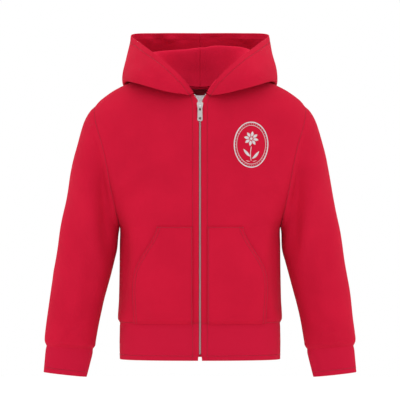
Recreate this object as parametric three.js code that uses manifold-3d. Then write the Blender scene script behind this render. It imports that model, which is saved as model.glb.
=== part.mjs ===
import * as THREE from 'three';
import { mergeVertices } from 'three/addons/utils/BufferGeometryUtils.js';
import Module from 'manifold-3d';

// Kids zip hoodie, filled out as when worn. Millimetres, +Z up, the front faces -Y.
// The origin is the middle of the neck opening, level with the highest points of the shoulders.
// Left is -X and right is +X, as the garment is seen from the front.

// Driving sizes
const CLOTH = 1.8;
const RIB = 2.2;
const SEAM_GAP = 0.3;
const HEM_SEAM_Z = -464;
const BAND_BOTTOM_Z = -531;
const UNDERARM_Z = -285;
const SHOULDER_TIP_Z = -64;
const NECK_HALF_WIDTH = 62;
const FRONT_NECK_Z = -42;
const BACK_NECK_Z = -27;
const FRONT_EDGE_X = 3.3;
const NECK_FLARE = 8.7;
const FLARE_START_Z = -66;
const SHOULDER_ROUNDING = 130;
const SECTION_POWER = 2.4;
const ARMHOLE_DEPTH_SHARE = 0.7;

// Rows and columns of the panel grids
const NECK_COLUMNS = 6;
const SHOULDER_COLUMNS = 5;
const PANEL_COLUMNS = NECK_COLUMNS + SHOULDER_COLUMNS;
const POCKET_COLUMN = 7;
const POCKET_INNER_X = 13.5;
const POCKET_THICKNESS = 1.6;
const POCKET_FULLNESS = 2.4;
const ARMHOLE_ROWS = 10;

// Half width and the depth of front and back at each height of the body
const BODY_SECTIONS = [
  { z: -531, width: 147.5, front: 80, back: 82 },
  { z: -500, width: 148, front: 82, back: 84 },
  { z: -464, width: 148, front: 84, back: 86 },
  { z: -455, width: 151.5, front: 89, back: 91 },
  { z: -420, width: 150, front: 89, back: 90 },
  { z: -370, width: 149, front: 88, back: 88 },
  { z: -320, width: 148.5, front: 88, back: 88 },
  { z: -285, width: 148.5, front: 88, back: 90 },
  { z: -220, width: 160, front: 90, back: 95 },
  { z: -150, width: 174, front: 91, back: 98 },
  { z: -90, width: 193, front: 89, back: 98 },
  { z: -64, width: 194, front: 88, back: 96 },
  { z: 0, width: 194, front: 87, back: 94 },
];

// Heights of the flat rows between the hem seam and the underarm
const LOWER_ROWS = [-464, -457, -441, -418, -394, -370, -349, -328, -306, -285];

// Top line of the shoulder, level across the neck
const SHOULDER_LINE = [
  { x: 0, z: 5 },
  { x: 62, z: 0 },
  { x: 110, z: -13 },
  { x: 152, z: -31 },
  { x: 183, z: -52 },
  { x: 194, z: -64 },
];

// Armhole seam as seen from the front
const ARMHOLE_LINE = [
  { z: -285, x: 148.5 },
  { z: -262, x: 153 },
  { z: -218, x: 162 },
  { z: -172, x: 170 },
  { z: -135, x: 178 },
  { z: -105, x: 187 },
  { z: -84, x: 192 },
  { z: -64, x: 194 },
];

// Outer edge of the pocket halves: upright at the bottom, slanted along the hand opening
const POCKET_EDGE = [
  { z: -464, x: 121 },
  { z: -370, x: 118 },
  { z: -285, x: 79 },
  { z: -200, x: 84 },
];

// Sections of the sleeve from the armhole to the cuff seam
const SLEEVE_SECTIONS = [
  { outerX: 194, outerZ: -64, innerX: 148.5, innerZ: -285, front: 62, back: 67 },
  { outerX: 204.5, outerZ: -76, innerX: 150.4, innerZ: -294, front: 62, back: 67 },
  { outerX: 213, outerZ: -91, innerX: 151.3, innerZ: -303, front: 60, back: 65 },
  { outerX: 219.5, outerZ: -109, innerX: 151.8, innerZ: -313, front: 58, back: 62 },
  { outerX: 225.5, outerZ: -130, innerX: 152.5, innerZ: -324, front: 56, back: 59 },
  { outerX: 232, outerZ: -155, innerX: 154.3, innerZ: -335, front: 54, back: 57 },
  { outerX: 238, outerZ: -186, innerX: 158.5, innerZ: -350, front: 53, back: 55 },
  { outerX: 244.5, outerZ: -221, innerX: 163.3, innerZ: -367, front: 52, back: 53 },
  { outerX: 251.5, outerZ: -258, innerX: 168.5, innerZ: -386, front: 50, back: 51 },
  { outerX: 258.5, outerZ: -297, innerX: 173.7, innerZ: -405, front: 49, back: 49 },
  { outerX: 265, outerZ: -336, innerX: 178.7, innerZ: -424, front: 47, back: 47 },
  { outerX: 271, outerZ: -375, innerX: 183.2, innerZ: -444, front: 45, back: 45 },
  { outerX: 276.5, outerZ: -412, innerX: 187.2, innerZ: -463, front: 43, back: 43 },
  { outerX: 281.5, outerZ: -448, innerX: 190.7, innerZ: -482, front: 40, back: 40 },
  { outerX: 285.5, outerZ: -480, innerX: 193.3, innerZ: -497, front: 37, back: 37 },
  { outerX: 286.5, outerZ: -496, innerX: 194.5, innerZ: -505.5, front: 34, back: 34 },
  { outerX: 284, outerZ: -506.5, innerX: 198, innerZ: -512.5, front: 27, back: 27 },
];
const ARMHOLE_BLEND_SECTIONS = 6;

// Sections of the cuff below its seam
const CUFF_SECTIONS = [
  { outerX: 284, outerZ: -506.5, innerX: 198, innerZ: -512.5, front: 27, back: 27 },
  { outerX: 285, outerZ: -516, innerX: 200, innerZ: -523, front: 24, back: 24 },
  { outerX: 286.8, outerZ: -536, innerX: 205.2, innerZ: -543.5, front: 21, back: 21 },
  { outerX: 288.5, outerZ: -555.5, innerX: 210.5, innerZ: -564, front: 20, back: 20 },
];

// Long soft ridge down the front of each sleeve, seen from the front
const SLEEVE_RIDGE = [
  { x: 226, z: -144 },
  { x: 213, z: -218 },
  { x: 194, z: -283 },
  { x: 180, z: -357 },
  { x: 178, z: -410 },
];
const SLEEVE_RIDGE_HEIGHT = 6;
const SLEEVE_RIDGE_WIDTH = 17;

// Hood: each row is a profile from the neck seam to the rim of the face opening.
// The fabric stands up from the neck, turns over at the ridge, drops to the outer fold
// and rises again to the rim. The last row is the centre seam at the back.
const HOOD_PROFILES = [
  {
    at: 0, stand: [12.3, -68.6, -40.9], ridge: [13.2, -71.2, -41.6], drop: [16, -73.8, -43.8],
    fold: [19.5, -76.8, -45.2], side: [18.5, -78.6, -43], rim: [13.8, -77, -38.8],
  },
  {
    at: 2, stand: [34, -69, -32], ridge: [41, -77, -28], drop: [49, -84, -33],
    fold: [54, -89, -39.5], side: [53, -90, -25], rim: [38, -80, -8],
  },
  {
    at: 4, stand: [60, -54, -12], ridge: [74, -62, -8], drop: [92, -68, -18],
    fold: [107, -70, -25], side: [106, -72, -3], rim: [76, -55, 26],
  },
  {
    at: 6, stand: [70, 0, 12], ridge: [88, 0, 17], drop: [114, -7, 0],
    fold: [137, -12, -18], side: [135, -8, 12], rim: [108, -6, 52],
  },
  {
    at: 8, stand: [61, 48, 6], ridge: [90, 52, 40], drop: [116, 58, 12],
    fold: [136, 60, -34], side: [134, 68, 18], rim: [127, 70, 72.5],
  },
  {
    at: 10, stand: [33, 63, 3], ridge: [48, 68, 46], drop: [70, 96, -12],
    fold: [92, 120, -86], side: [98, 142, -8], rim: [74, 112, 77],
  },
  {
    at: 12, stand: [0, 69, 4], ridge: [0, 70, 46], drop: [0, 104, -28],
    fold: [0, 124, -106], side: [0, 150, -20], rim: [0, 124, 77.5],
  },
];
const HOOD_STEPS = [0, 0.5, 1, 1.5, 1.8, 2.05, 2.35, 2.7, 3.1, 3.5, 3.8, 4, 4.25, 4.6, 5, 5.5, 6];
const HOOD_LIFT = 0.7;

// Zip
const CHAIN_HALF_WIDTH = 2.8;
const CHAIN_THICKNESS = 2;
const CHAIN_TOP_Z = -58;
const CHAIN_BOTTOM_Z = -518;
const TAPE_INNER_X = 0.3;
const TAPE_OUTER_X = 15;
const TAPE_THICKNESS = 0.7;
const TAPE_DEPTH = 2.6;

// Slider and pull tab
const SLIDER_Z = -65;
const SLIDER_CLEARANCE = 0.9;
const SLIDER_WIDTH = 11.4;
const SLIDER_BOTTOM_SHARE = 0.72;
const SLIDER_HEIGHT = 14.5;
const SLIDER_THICKNESS = 2.2;
const BRIDGE_ABOVE_AXIS = 6;
const BRIDGE_BELOW_AXIS = 3.2;
const BRIDGE_FRONT = 2.6;
const BRIDGE_WIDTH = 2.4;
const BRIDGE_HOLE_RADIUS = 1.3;
const AXIS_ABOVE_PLATE = 2.1;
const AXIS_DROP = 4;
const TAB_LENGTH = 26;
const TAB_TOP_WIDTH = 8.4;
const TAB_WIDTH = 9.4;
const TAB_THICKNESS = 1.2;
const TAB_BAR_HALF = 0.7;
const TAB_RING_HOLE = 6.3;
const TAB_RING_HOLE_WIDTH = 3.8;
const TAB_CORNER = 3;
const TAB_END_HOLE_SIDE = 4.2;
const TAB_END_HOLE_FROM_END = 5.2;
const TAB_REST_CLEARANCE = 1.2;

// Label and tape inside the back neck
const NECK_TAPE_BELOW_SEAM = 1.5;
const NECK_TAPE_HEIGHT = 11;
const NECK_TAPE_THICKNESS = 1;
const NECK_TAPE_COLUMNS = 4;
const INSIDE_DEPTH = 3;
const LABEL_HALF_WIDTH = 19;
const LABEL_HEIGHT = 26;
const LABEL_THICKNESS = 0.6;
const LABEL_COLUMNS = 4;
const LABEL_ROWS = 3;

const wasm = await Module();
wasm.setup();

const clamp01 = (value) => Math.min(1, Math.max(0, value));

function smoothStep(edge0, edge1, value) {
  const t = clamp01((value - edge0) / (edge1 - edge0));
  return t * t * (3 - 2 * t);
}

// Cubic through a table's rows, with the slope at a row taken from the rows beside it
function readTable(table, key, column, value) {
  const rising = table[table.length - 1][key] > table[0][key];
  const rows = rising ? table : [...table].reverse();
  const last = rows.length - 1;
  if (value <= rows[0][key]) return rows[0][column];
  if (value >= rows[last][key]) return rows[last][column];
  let i = 0;
  while (value > rows[i + 1][key]) i += 1;
  const slopeAt = (k) => {
    const before = rows[Math.max(0, k - 1)];
    const after = rows[Math.min(last, k + 1)];
    return (after[column] - before[column]) / (after[key] - before[key]);
  };
  const span = rows[i + 1][key] - rows[i][key];
  const t = (value - rows[i][key]) / span;
  const t2 = t * t;
  const t3 = t2 * t;
  return rows[i][column] * (2 * t3 - 3 * t2 + 1)
    + slopeAt(i) * span * (t3 - 2 * t2 + t)
    + rows[i + 1][column] * (3 * t2 - 2 * t3)
    + slopeAt(i + 1) * span * (t3 - t2);
}

// Even-parameter cubic through a list of vectors
function curveThrough(points, t) {
  const last = points.length - 1;
  const i = Math.min(last - 1, Math.floor(t));
  const f = t - i;
  const before = points[Math.max(0, i - 1)];
  const from = points[i];
  const to = points[i + 1];
  const after = points[Math.min(last, i + 2)];
  const m0 = to.clone().sub(before).multiplyScalar(0.5);
  const m1 = after.clone().sub(from).multiplyScalar(0.5);
  const f2 = f * f;
  const f3 = f2 * f;
  return from.clone().multiplyScalar(2 * f3 - 3 * f2 + 1)
    .addScaledVector(m0, f3 - 2 * f2 + f)
    .addScaledVector(to, 3 * f2 - 2 * f3)
    .addScaledVector(m1, f3 - f2);
}

const shoulderZ = (x) => readTable(SHOULDER_LINE, 'x', 'z', Math.abs(x));
const armholeX = (z) => readTable(ARMHOLE_LINE, 'z', 'x', z);

// Above the underarm the section is wider than the panel, so that its edge stays open for the arm
function sectionWidth(z) {
  if (z <= UNDERARM_Z) return readTable(BODY_SECTIONS, 'z', 'width', z);
  const up = clamp01((z - UNDERARM_Z) / (SHOULDER_TIP_Z - UNDERARM_Z));
  const share = ARMHOLE_DEPTH_SHARE * Math.sqrt(1 - (1 - up) ** 3);
  const narrowing = (1 - share ** SECTION_POWER) ** (1 / SECTION_POWER);
  return armholeX(z) / narrowing;
}

// Depth of the body at a point seen from the front, for its front or back half
function bodyDepth(x, z, half) {
  const across = clamp01(Math.abs(x) / sectionWidth(z));
  const round = (1 - across ** SECTION_POWER) ** (1 / SECTION_POWER);
  const drop = clamp01((shoulderZ(x) - z) / SHOULDER_ROUNDING);
  const shoulder = Math.sqrt(1 - (1 - drop) ** 2);
  return readTable(BODY_SECTIONS, 'z', half, z) * round * shoulder;
}

function bodyPoint(x, z, half) {
  const side = half === 'front' ? -1 : 1;
  return new THREE.Vector3(x, side * bodyDepth(x, z, half), z);
}

// Column positions below the underarm: even to the pocket edge, then closer towards the side
function lowerColumnX(column, z) {
  const pocketX = readTable(POCKET_EDGE, 'z', 'x', z);
  if (column === 0) return FRONT_EDGE_X;
  if (column <= POCKET_COLUMN) {
    return POCKET_INNER_X + ((pocketX - POCKET_INNER_X) * (column - 1)) / (POCKET_COLUMN - 1);
  }
  const beyond = (column - POCKET_COLUMN) / (PANEL_COLUMNS - POCKET_COLUMN);
  const side = z < UNDERARM_Z ? sectionWidth(z) : armholeX(z);
  return pocketX + (side - pocketX) * Math.sin((beyond * Math.PI) / 2);
}

// The top edge of a panel: round the neck, then along the shoulder
function topEdgePoint(column, half) {
  if (column <= NECK_COLUMNS) {
    const turn = (column / NECK_COLUMNS) * (Math.PI / 2);
    const neckZ = half === 'front' ? FRONT_NECK_Z : BACK_NECK_Z;
    return { x: NECK_HALF_WIDTH * Math.sin(turn), z: neckZ * Math.cos(turn) };
  }
  const along = (column - NECK_COLUMNS) / SHOULDER_COLUMNS;
  const x = NECK_HALF_WIDTH + (armholeX(SHOULDER_TIP_Z) - NECK_HALF_WIDTH) * along;
  return { x, z: shoulderZ(x) };
}

// The middle edge runs straight, and above the slider the fronts open out as a V
function middleEdgeX(z, half) {
  if (half === 'back') return 0;
  const flareEnd = 2 * FRONT_NECK_Z - FLARE_START_Z;
  return FRONT_EDGE_X + 2 * NECK_FLARE * smoothStep(FLARE_START_Z, flareEnd, z);
}

// Heights of the armhole rows, closer together at the underarm and the shoulder
function armholeRowZ(row) {
  const turn = Math.PI * (1 - row / ARMHOLE_ROWS);
  const middle = (SHOULDER_TIP_Z + UNDERARM_Z) / 2;
  return middle + ((SHOULDER_TIP_Z - UNDERARM_Z) / 2) * Math.cos(turn);
}

// One half panel as rows from the hem seam to the top, columns from the middle to the side
function halfPanel(half, side) {
  const rows = [];
  for (const z of LOWER_ROWS) {
    const row = [];
    for (let column = 0; column <= PANEL_COLUMNS; column += 1) {
      const x = column === 0 ? middleEdgeX(z, half) : lowerColumnX(column, z);
      const point = bodyPoint(x, z, half);
      if (column === PANEL_COLUMNS) point.y = 0;
      row.push(point.setX(side * point.x));
    }
    rows.push(row);
  }
  const tipX = armholeX(SHOULDER_TIP_Z);
  for (let step = 1; step <= ARMHOLE_ROWS; step += 1) {
    const edgeZ = armholeRowZ(step);
    const share = (edgeZ - UNDERARM_Z) / (SHOULDER_TIP_Z - UNDERARM_Z);
    const row = [];
    for (let column = 0; column <= PANEL_COLUMNS; column += 1) {
      const top = topEdgePoint(column, half);
      const z = UNDERARM_Z + share * (top.z - UNDERARM_Z);
      const upperX = (top.x * armholeX(edgeZ)) / tipX;
      const mix = smoothStep(0, 1, share);
      const x = lowerColumnX(column, edgeZ) * (1 - mix) + upperX * mix;
      const middleX = middleEdgeX(z, half);
      const placed = column === 0 ? middleX : column === PANEL_COLUMNS ? armholeX(edgeZ) : x;
      const point = bodyPoint(placed, z, half);
      if (step === ARMHOLE_ROWS && column >= NECK_COLUMNS) point.y = 0;
      row.push(point.setX(side * point.x));
    }
    rows.push(row);
  }
  return rows;
}

// The back joins its two halves at the middle
function backPanel() {
  const right = halfPanel('back', 1);
  const left = halfPanel('back', -1);
  return right.map((row, index) => [...left[index].slice(1).reverse(), ...row]);
}

// Distance from a front-view point to a line of table points, with the share along the line
function distanceToLine(line, x, z) {
  let best = { distance: Infinity, along: 0 };
  for (let i = 0; i < line.length - 1; i += 1) {
    const dx = line[i + 1].x - line[i].x;
    const dz = line[i + 1].z - line[i].z;
    const t = clamp01(((x - line[i].x) * dx + (z - line[i].z) * dz) / (dx * dx + dz * dz));
    const distance = Math.hypot(x - line[i].x - t * dx, z - line[i].z - t * dz);
    if (distance < best.distance) best = { distance, along: (i + t) / (line.length - 1) };
  }
  return best;
}

// Rings of the sleeve: the first is the armhole itself, later ones turn into plain ovals
function sleeveRings(side, frontPanel, backHalf) {
  const first = LOWER_ROWS.length - 1;
  const armhole = [];
  for (let row = ARMHOLE_ROWS; row >= 0; row -= 1) {
    armhole.push(frontPanel[first + row][PANEL_COLUMNS].clone());
  }
  for (let row = 1; row < ARMHOLE_ROWS; row += 1) {
    armhole.push(backHalf[first + row][PANEL_COLUMNS].clone());
  }
  const around = armhole.length;
  const plain = (section) => ovalRing(section, side, around);
  const plainFirst = plain(SLEEVE_SECTIONS[0]);
  return SLEEVE_SECTIONS.map((section, index) => {
    const hold = 1 - smoothStep(0, ARMHOLE_BLEND_SECTIONS, index);
    const ring = plain(section);
    return ring.map((point, k) => {
      const shaped = point.clone().addScaledVector(armhole[k].clone().sub(plainFirst[k]), hold);
      return index === 0 ? armhole[k].clone() : raiseSleeveRidge(shaped, side);
    });
  });
}

// A flattened oval whose long way runs from the outer to the inner edge seen from the front
function ovalRing(section, side, around) {
  const ring = [];
  for (let k = 0; k < around; k += 1) {
    const turn = (k / around) * 2 * Math.PI;
    const along = (1 + Math.cos(turn)) / 2;
    const x = section.innerX + (section.outerX - section.innerX) * along;
    const z = section.innerZ + (section.outerZ - section.innerZ) * along;
    const depth = Math.sin(turn) > 0 ? section.front : section.back;
    ring.push(new THREE.Vector3(side * x, -depth * Math.sin(turn), z));
  }
  return ring;
}

function raiseSleeveRidge(point, side) {
  if (point.y >= 0) return point;
  const near = distanceToLine(SLEEVE_RIDGE, side * point.x, point.z);
  const fade = Math.sin(Math.PI * clamp01(0.1 + 0.8 * near.along)) ** 0.5;
  const ridge = SLEEVE_RIDGE_HEIGHT * fade * Math.exp(-((near.distance / SLEEVE_RIDGE_WIDTH) ** 2));
  point.y -= ridge * clamp01(-point.y / 20);
  return point;
}

// Normals of a grid of points. Across a ring the last column meets the first again.
function gridNormals(grid, closed, handed) {
  const rows = grid.length;
  const columns = grid[0].length;
  const normals = grid.map((row) => row.map(() => new THREE.Vector3()));
  const quads = closed ? columns : columns - 1;
  for (let r = 0; r < rows - 1; r += 1) {
    for (let c = 0; c < quads; c += 1) {
      const next = (c + 1) % columns;
      const across = grid[r + 1][next].clone().sub(grid[r][c]);
      const other = grid[r + 1][c].clone().sub(grid[r][next]);
      const face = across.cross(other).multiplyScalar(handed);
      for (const [i, j] of [[r, c], [r + 1, c], [r, next], [r + 1, next]]) normals[i][j].add(face);
    }
  }
  for (const row of normals) row.forEach((normal) => normal.normalize());
  return normals;
}

const pointKey = (p) => `${p.x.toFixed(2)},${p.y.toFixed(2)},${p.z.toFixed(2)}`;

// Panels that meet at a seam take one shared normal there, so their edges run side by side.
// Where two panels face each other, as at the underarm, each keeps its own.
function weldNormals(panels) {
  const meeting = new Map();
  for (const panel of panels) {
    panel.grid.forEach((row, r) => row.forEach((point, c) => {
      const key = pointKey(point);
      if (!meeting.has(key)) meeting.set(key, []);
      meeting.get(key).push(panel.normals[r][c].clone());
    }));
  }
  for (const panel of panels) {
    panel.grid.forEach((row, r) => row.forEach((point, c) => {
      const own = panel.normals[r][c];
      const alike = meeting.get(pointKey(point)).filter((other) => other.dot(own) > 0.2);
      const sum = alike.reduce((total, other) => total.add(other), new THREE.Vector3());
      panel.normals[r][c] = sum.normalize();
    }));
  }
}

function stepTowards(from, to, distance) {
  const way = to.clone().sub(from);
  return from.clone().addScaledVector(way, distance / way.length());
}

// Draw the named edges in by half a seam gap
function drawInEdges(panel, edges) {
  const { grid } = panel;
  const last = grid.length - 1;
  const end = grid[0].length - 1;
  const half = SEAM_GAP / 2;
  if (edges.bottom) grid[0] = grid[0].map((p, c) => stepTowards(p, grid[1][c], half));
  if (edges.top) grid[last] = grid[last].map((p, c) => stepTowards(p, grid[last - 1][c], half));
  if (edges.start) {
    for (const row of grid) row[0] = stepTowards(row[0], row[1], half);
  }
  if (edges.end) {
    for (const row of grid) row[end] = stepTowards(row[end], row[end - 1], half);
  }
}

// A closed wall: the grid moved out by one distance, and back in by the wall's thickness
function wallGeometry(grid, normals, closed, outset, thickness) {
  const rows = grid.length;
  const columns = grid[0].length;
  const positions = [];
  for (const shift of [outset, outset - thickness]) {
    grid.forEach((row, r) => row.forEach((point, c) => {
      const moved = point.clone().addScaledVector(normals[r][c], shift);
      positions.push(moved.x, moved.y, moved.z);
    }));
  }
  const outer = (r, c) => r * columns + (c % columns);
  const inner = (r, c) => rows * columns + outer(r, c);
  const indices = [];
  const quad = (a, b, c, d) => indices.push(a, b, c, a, c, d);
  const quads = closed ? columns : columns - 1;
  for (let r = 0; r < rows - 1; r += 1) {
    for (let c = 0; c < quads; c += 1) {
      quad(outer(r, c), outer(r, c + 1), outer(r + 1, c + 1), outer(r + 1, c));
      quad(inner(r, c), inner(r + 1, c), inner(r + 1, c + 1), inner(r, c + 1));
    }
    if (!closed) {
      quad(outer(r, 0), outer(r + 1, 0), inner(r + 1, 0), inner(r, 0));
      quad(outer(r + 1, quads), outer(r, quads), inner(r, quads), inner(r + 1, quads));
    }
  }
  for (let c = 0; c < quads; c += 1) {
    quad(outer(0, c + 1), outer(0, c), inner(0, c), inner(0, c + 1));
    quad(outer(rows - 1, c), outer(rows - 1, c + 1), inner(rows - 1, c + 1), inner(rows - 1, c));
  }
  if (enclosedVolume(positions, indices) < 0) {
    for (let i = 0; i < indices.length; i += 3) {
      [indices[i + 1], indices[i + 2]] = [indices[i + 2], indices[i + 1]];
    }
  }
  const geometry = new THREE.BufferGeometry();
  geometry.setAttribute('position', new THREE.Float32BufferAttribute(positions, 3));
  geometry.setIndex(indices);
  return geometry;
}

function enclosedVolume(positions, indices) {
  const corner = (i) => new THREE.Vector3().fromArray(positions, 3 * indices[i]);
  let volume = 0;
  for (let i = 0; i < indices.length; i += 3) {
    volume += corner(i).dot(corner(i + 1).cross(corner(i + 2))) / 6;
  }
  return volume;
}

function makePanel(grid, closed, handed) {
  return { grid, closed, normals: gridNormals(grid, closed, handed) };
}

function panelGeometry(panel, thickness, outset = 0) {
  return wallGeometry(panel.grid, panel.normals, panel.closed, outset, thickness);
}

// The band has the same columns as the two fronts and the back above it
function bandGrid() {
  const heights = [HEM_SEAM_Z, -470, -500, BAND_BOTTOM_Z];
  return heights.map((z) => {
    const columns = [];
    for (let column = 0; column <= PANEL_COLUMNS; column += 1) {
      columns.push(column === 0 ? FRONT_EDGE_X : lowerColumnX(column, z));
    }
    const place = (x, half, side) => {
      const point = bodyPoint(x, z, half);
      if (x === columns[PANEL_COLUMNS]) point.y = 0;
      return point.setX(side * x);
    };
    const frontLeft = columns.map((x) => place(x, 'front', -1));
    const frontRight = columns.map((x) => place(x, 'front', 1)).reverse();
    const backColumns = [0, ...columns.slice(1, PANEL_COLUMNS)];
    const backLeft = backColumns.map((x) => place(x, 'back', -1)).reverse();
    const backRight = backColumns.slice(1).map((x) => place(x, 'back', 1));
    return [...frontLeft, ...backLeft, ...backRight, ...frontRight];
  });
}

// Hood half: columns run from the front of the neck round to the centre seam at the back
function hoodGrid(side, frontPanel, backHalf) {
  const top = frontPanel.length - 1;
  const neck = [];
  for (let column = 0; column <= NECK_COLUMNS; column += 1) neck.push(frontPanel[top][column]);
  for (let column = NECK_COLUMNS - 1; column >= 0; column -= 1) neck.push(backHalf[top][column]);
  const names = ['stand', 'ridge', 'drop', 'fold', 'side', 'rim'];
  const controls = names.map((name) => HOOD_PROFILES.map((row) => new THREE.Vector3(...row[name])));
  const profiles = neck.map((seamPoint, index) => {
    const station = index / 2;
    const points = controls.map((column) => curveThrough(column, station));
    points.forEach((point) => point.setX(side * point.x));
    const start = seamPoint.clone();
    start.z += HOOD_LIFT;
    return [start, ...points];
  });
  return HOOD_STEPS.map((step) => profiles.map((profile) => curveThrough(profile, step)));
}

// Pocket half: the panel's own points under it, moved out, a little fuller by the hand opening
function pocketPanel(panel) {
  const last = LOWER_ROWS.length - 1;
  const grid = [];
  const normals = [];
  for (let r = 0; r <= last; r += 1) {
    const up = Math.sin((Math.PI * r) / last);
    const points = [];
    for (let c = 1; c <= POCKET_COLUMN; c += 1) {
      const across = (c - 1) / (POCKET_COLUMN - 1);
      const full = POCKET_FULLNESS * up * Math.sin(Math.PI * across ** 2 * 0.62);
      points.push(panel.grid[r][c].clone().addScaledVector(panel.normals[r][c], full));
    }
    grid.push(points);
    normals.push(panel.normals[r].slice(1, POCKET_COLUMN + 1));
  }
  return { grid, normals, closed: false };
}

// A strip down the front, with rows at the same heights as the panels' middle edges
function zipPanel(fromX, toX, frontGrid) {
  const heights = [CHAIN_BOTTOM_Z, -500, -470];
  for (const row of frontGrid) {
    if (row[0].z < CHAIN_TOP_Z - 2) heights.push(row[0].z);
  }
  heights.push(CHAIN_TOP_Z);
  const grid = heights.map((z) => [fromX, toX].map((x) => bodyPoint(x, z, 'front')));
  return makePanel(grid, false, 1);
}

// The tape follows the back neck seam, inside
function neckTapePanel() {
  const grid = [NECK_TAPE_HEIGHT, NECK_TAPE_HEIGHT / 2, 0].map((below) => {
    const line = [];
    for (let column = -NECK_TAPE_COLUMNS; column <= NECK_TAPE_COLUMNS; column += 1) {
      const turn = (column / NECK_COLUMNS) * (Math.PI / 2);
      const seamZ = BACK_NECK_Z * Math.cos(turn);
      const x = NECK_HALF_WIDTH * Math.sin(turn);
      line.push(bodyPoint(x, seamZ - NECK_TAPE_BELOW_SEAM - below, 'back'));
    }
    return line;
  });
  return makePanel(grid, false, -1);
}

// The label hangs from the lower edge of the tape
function labelPanel() {
  const topZ = BACK_NECK_Z - NECK_TAPE_BELOW_SEAM - NECK_TAPE_HEIGHT - SEAM_GAP;
  const grid = [];
  for (let row = LABEL_ROWS; row >= 0; row -= 1) {
    const line = [];
    for (let column = 0; column <= LABEL_COLUMNS; column += 1) {
      const x = LABEL_HALF_WIDTH * ((2 * column) / LABEL_COLUMNS - 1);
      const lift = -BACK_NECK_Z * (1 - Math.sqrt(1 - (x / NECK_HALF_WIDTH) ** 2));
      const shareDown = row / LABEL_ROWS;
      line.push(bodyPoint(x, topZ + lift * (1 - shareDown) - LABEL_HEIGHT * shareDown, 'back'));
    }
    grid.push(line);
  }
  return makePanel(grid, false, -1);
}

// Slider and tab are drawn flat, with the outline in X and Z and the thickness towards -Y
function plateFrom(shape, thickness, curveSegments = 8) {
  const options = { depth: thickness, bevelEnabled: false, curveSegments };
  const geometry = new THREE.ExtrudeGeometry(shape, options);
  geometry.rotateX(Math.PI / 2);
  return geometry;
}

function toManifold(geometry) {
  const bare = geometry.clone();
  bare.deleteAttribute('normal');
  bare.deleteAttribute('uv');
  const merged = mergeVertices(bare, 1e-4);
  const vertProperties = new Float32Array(merged.attributes.position.array);
  const triVerts = new Uint32Array(merged.index.array);
  return new wasm.Manifold(new wasm.Mesh({ numProp: 3, vertProperties, triVerts }));
}

function fromManifold(solid) {
  const mesh = solid.getMesh();
  const geometry = new THREE.BufferGeometry();
  geometry.setAttribute('position', new THREE.Float32BufferAttribute(mesh.vertProperties, 3));
  geometry.setIndex(Array.from(mesh.triVerts));
  return geometry;
}

function sliderGeometry() {
  const top = SLIDER_HEIGHT / 2;
  const wide = SLIDER_WIDTH / 2;
  const shape = new THREE.Shape();
  shape.moveTo(-wide * SLIDER_BOTTOM_SHARE, -top);
  shape.lineTo(wide * SLIDER_BOTTOM_SHARE, -top);
  shape.lineTo(wide, top * 0.45);
  shape.quadraticCurveTo(wide, top, wide * 0.4, top);
  shape.lineTo(-wide * 0.4, top);
  shape.quadraticCurveTo(-wide, top, -wide, top * 0.45);
  const plate = plateFrom(shape, SLIDER_THICKNESS);
  const bridge = new THREE.Shape();
  const root = AXIS_ABOVE_PLATE + SLIDER_THICKNESS / 2;
  bridge.moveTo(-root, -BRIDGE_BELOW_AXIS);
  bridge.quadraticCurveTo(BRIDGE_FRONT, -BRIDGE_BELOW_AXIS, BRIDGE_FRONT, 0);
  bridge.quadraticCurveTo(BRIDGE_FRONT, BRIDGE_BELOW_AXIS, -root, BRIDGE_ABOVE_AXIS);
  const eye = new THREE.Path();
  eye.absarc(0, 0, BRIDGE_HOLE_RADIUS, 0, 2 * Math.PI, true);
  bridge.holes.push(eye);
  const options = { depth: BRIDGE_WIDTH, bevelEnabled: false, curveSegments: 10 };
  const bridgeGeometry = new THREE.ExtrudeGeometry(bridge, options);
  bridgeGeometry.translate(0, 0, -BRIDGE_WIDTH / 2);
  bridgeGeometry.applyMatrix4(new THREE.Matrix4().makeBasis(
    new THREE.Vector3(0, -1, 0),
    new THREE.Vector3(0, 0, 1),
    new THREE.Vector3(-1, 0, 0),
  ));
  bridgeGeometry.translate(0, -(SLIDER_THICKNESS + AXIS_ABOVE_PLATE), -AXIS_DROP);
  return fromManifold(toManifold(plate).add(toManifold(bridgeGeometry)));
}

// A rectangular hole, as high as from one level to the other
function rectangle(width, low, high) {
  const path = new THREE.Path();
  path.moveTo(-width / 2, high);
  path.lineTo(width / 2, high);
  path.lineTo(width / 2, low);
  path.lineTo(-width / 2, low);
  return path;
}

// The tab hangs down from its hinge axis, which runs through its top bar
function tabGeometry() {
  const wide = TAB_WIDTH / 2;
  const narrow = TAB_TOP_WIDTH / 2;
  const foot = -TAB_LENGTH + TAB_CORNER;
  const shape = new THREE.Shape();
  shape.moveTo(-narrow, TAB_BAR_HALF);
  shape.lineTo(-wide, foot);
  shape.quadraticCurveTo(-wide, -TAB_LENGTH, 0, -TAB_LENGTH);
  shape.quadraticCurveTo(wide, -TAB_LENGTH, wide, foot);
  shape.lineTo(narrow, TAB_BAR_HALF);
  shape.holes.push(rectangle(TAB_RING_HOLE_WIDTH, -TAB_RING_HOLE, -TAB_BAR_HALF));
  const endMiddle = -TAB_LENGTH + TAB_END_HOLE_FROM_END;
  const endHalf = TAB_END_HOLE_SIDE / 2;
  shape.holes.push(rectangle(TAB_END_HOLE_SIDE, endMiddle - endHalf, endMiddle + endHalf));
  const geometry = plateFrom(shape, TAB_THICKNESS, 6);
  geometry.translate(0, TAB_THICKNESS / 2, 0);
  return geometry;
}

function cloth(colour, roughness) {
  return new THREE.MeshStandardMaterial({ color: colour, roughness, metalness: 0 });
}

function metal(colour, roughness) {
  return new THREE.MeshStandardMaterial({ color: colour, roughness, metalness: 0.9 });
}

function add(parent, name, geometry, material) {
  const mesh = new THREE.Mesh(geometry, material);
  mesh.name = name;
  parent.add(mesh);
  return mesh;
}

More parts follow.
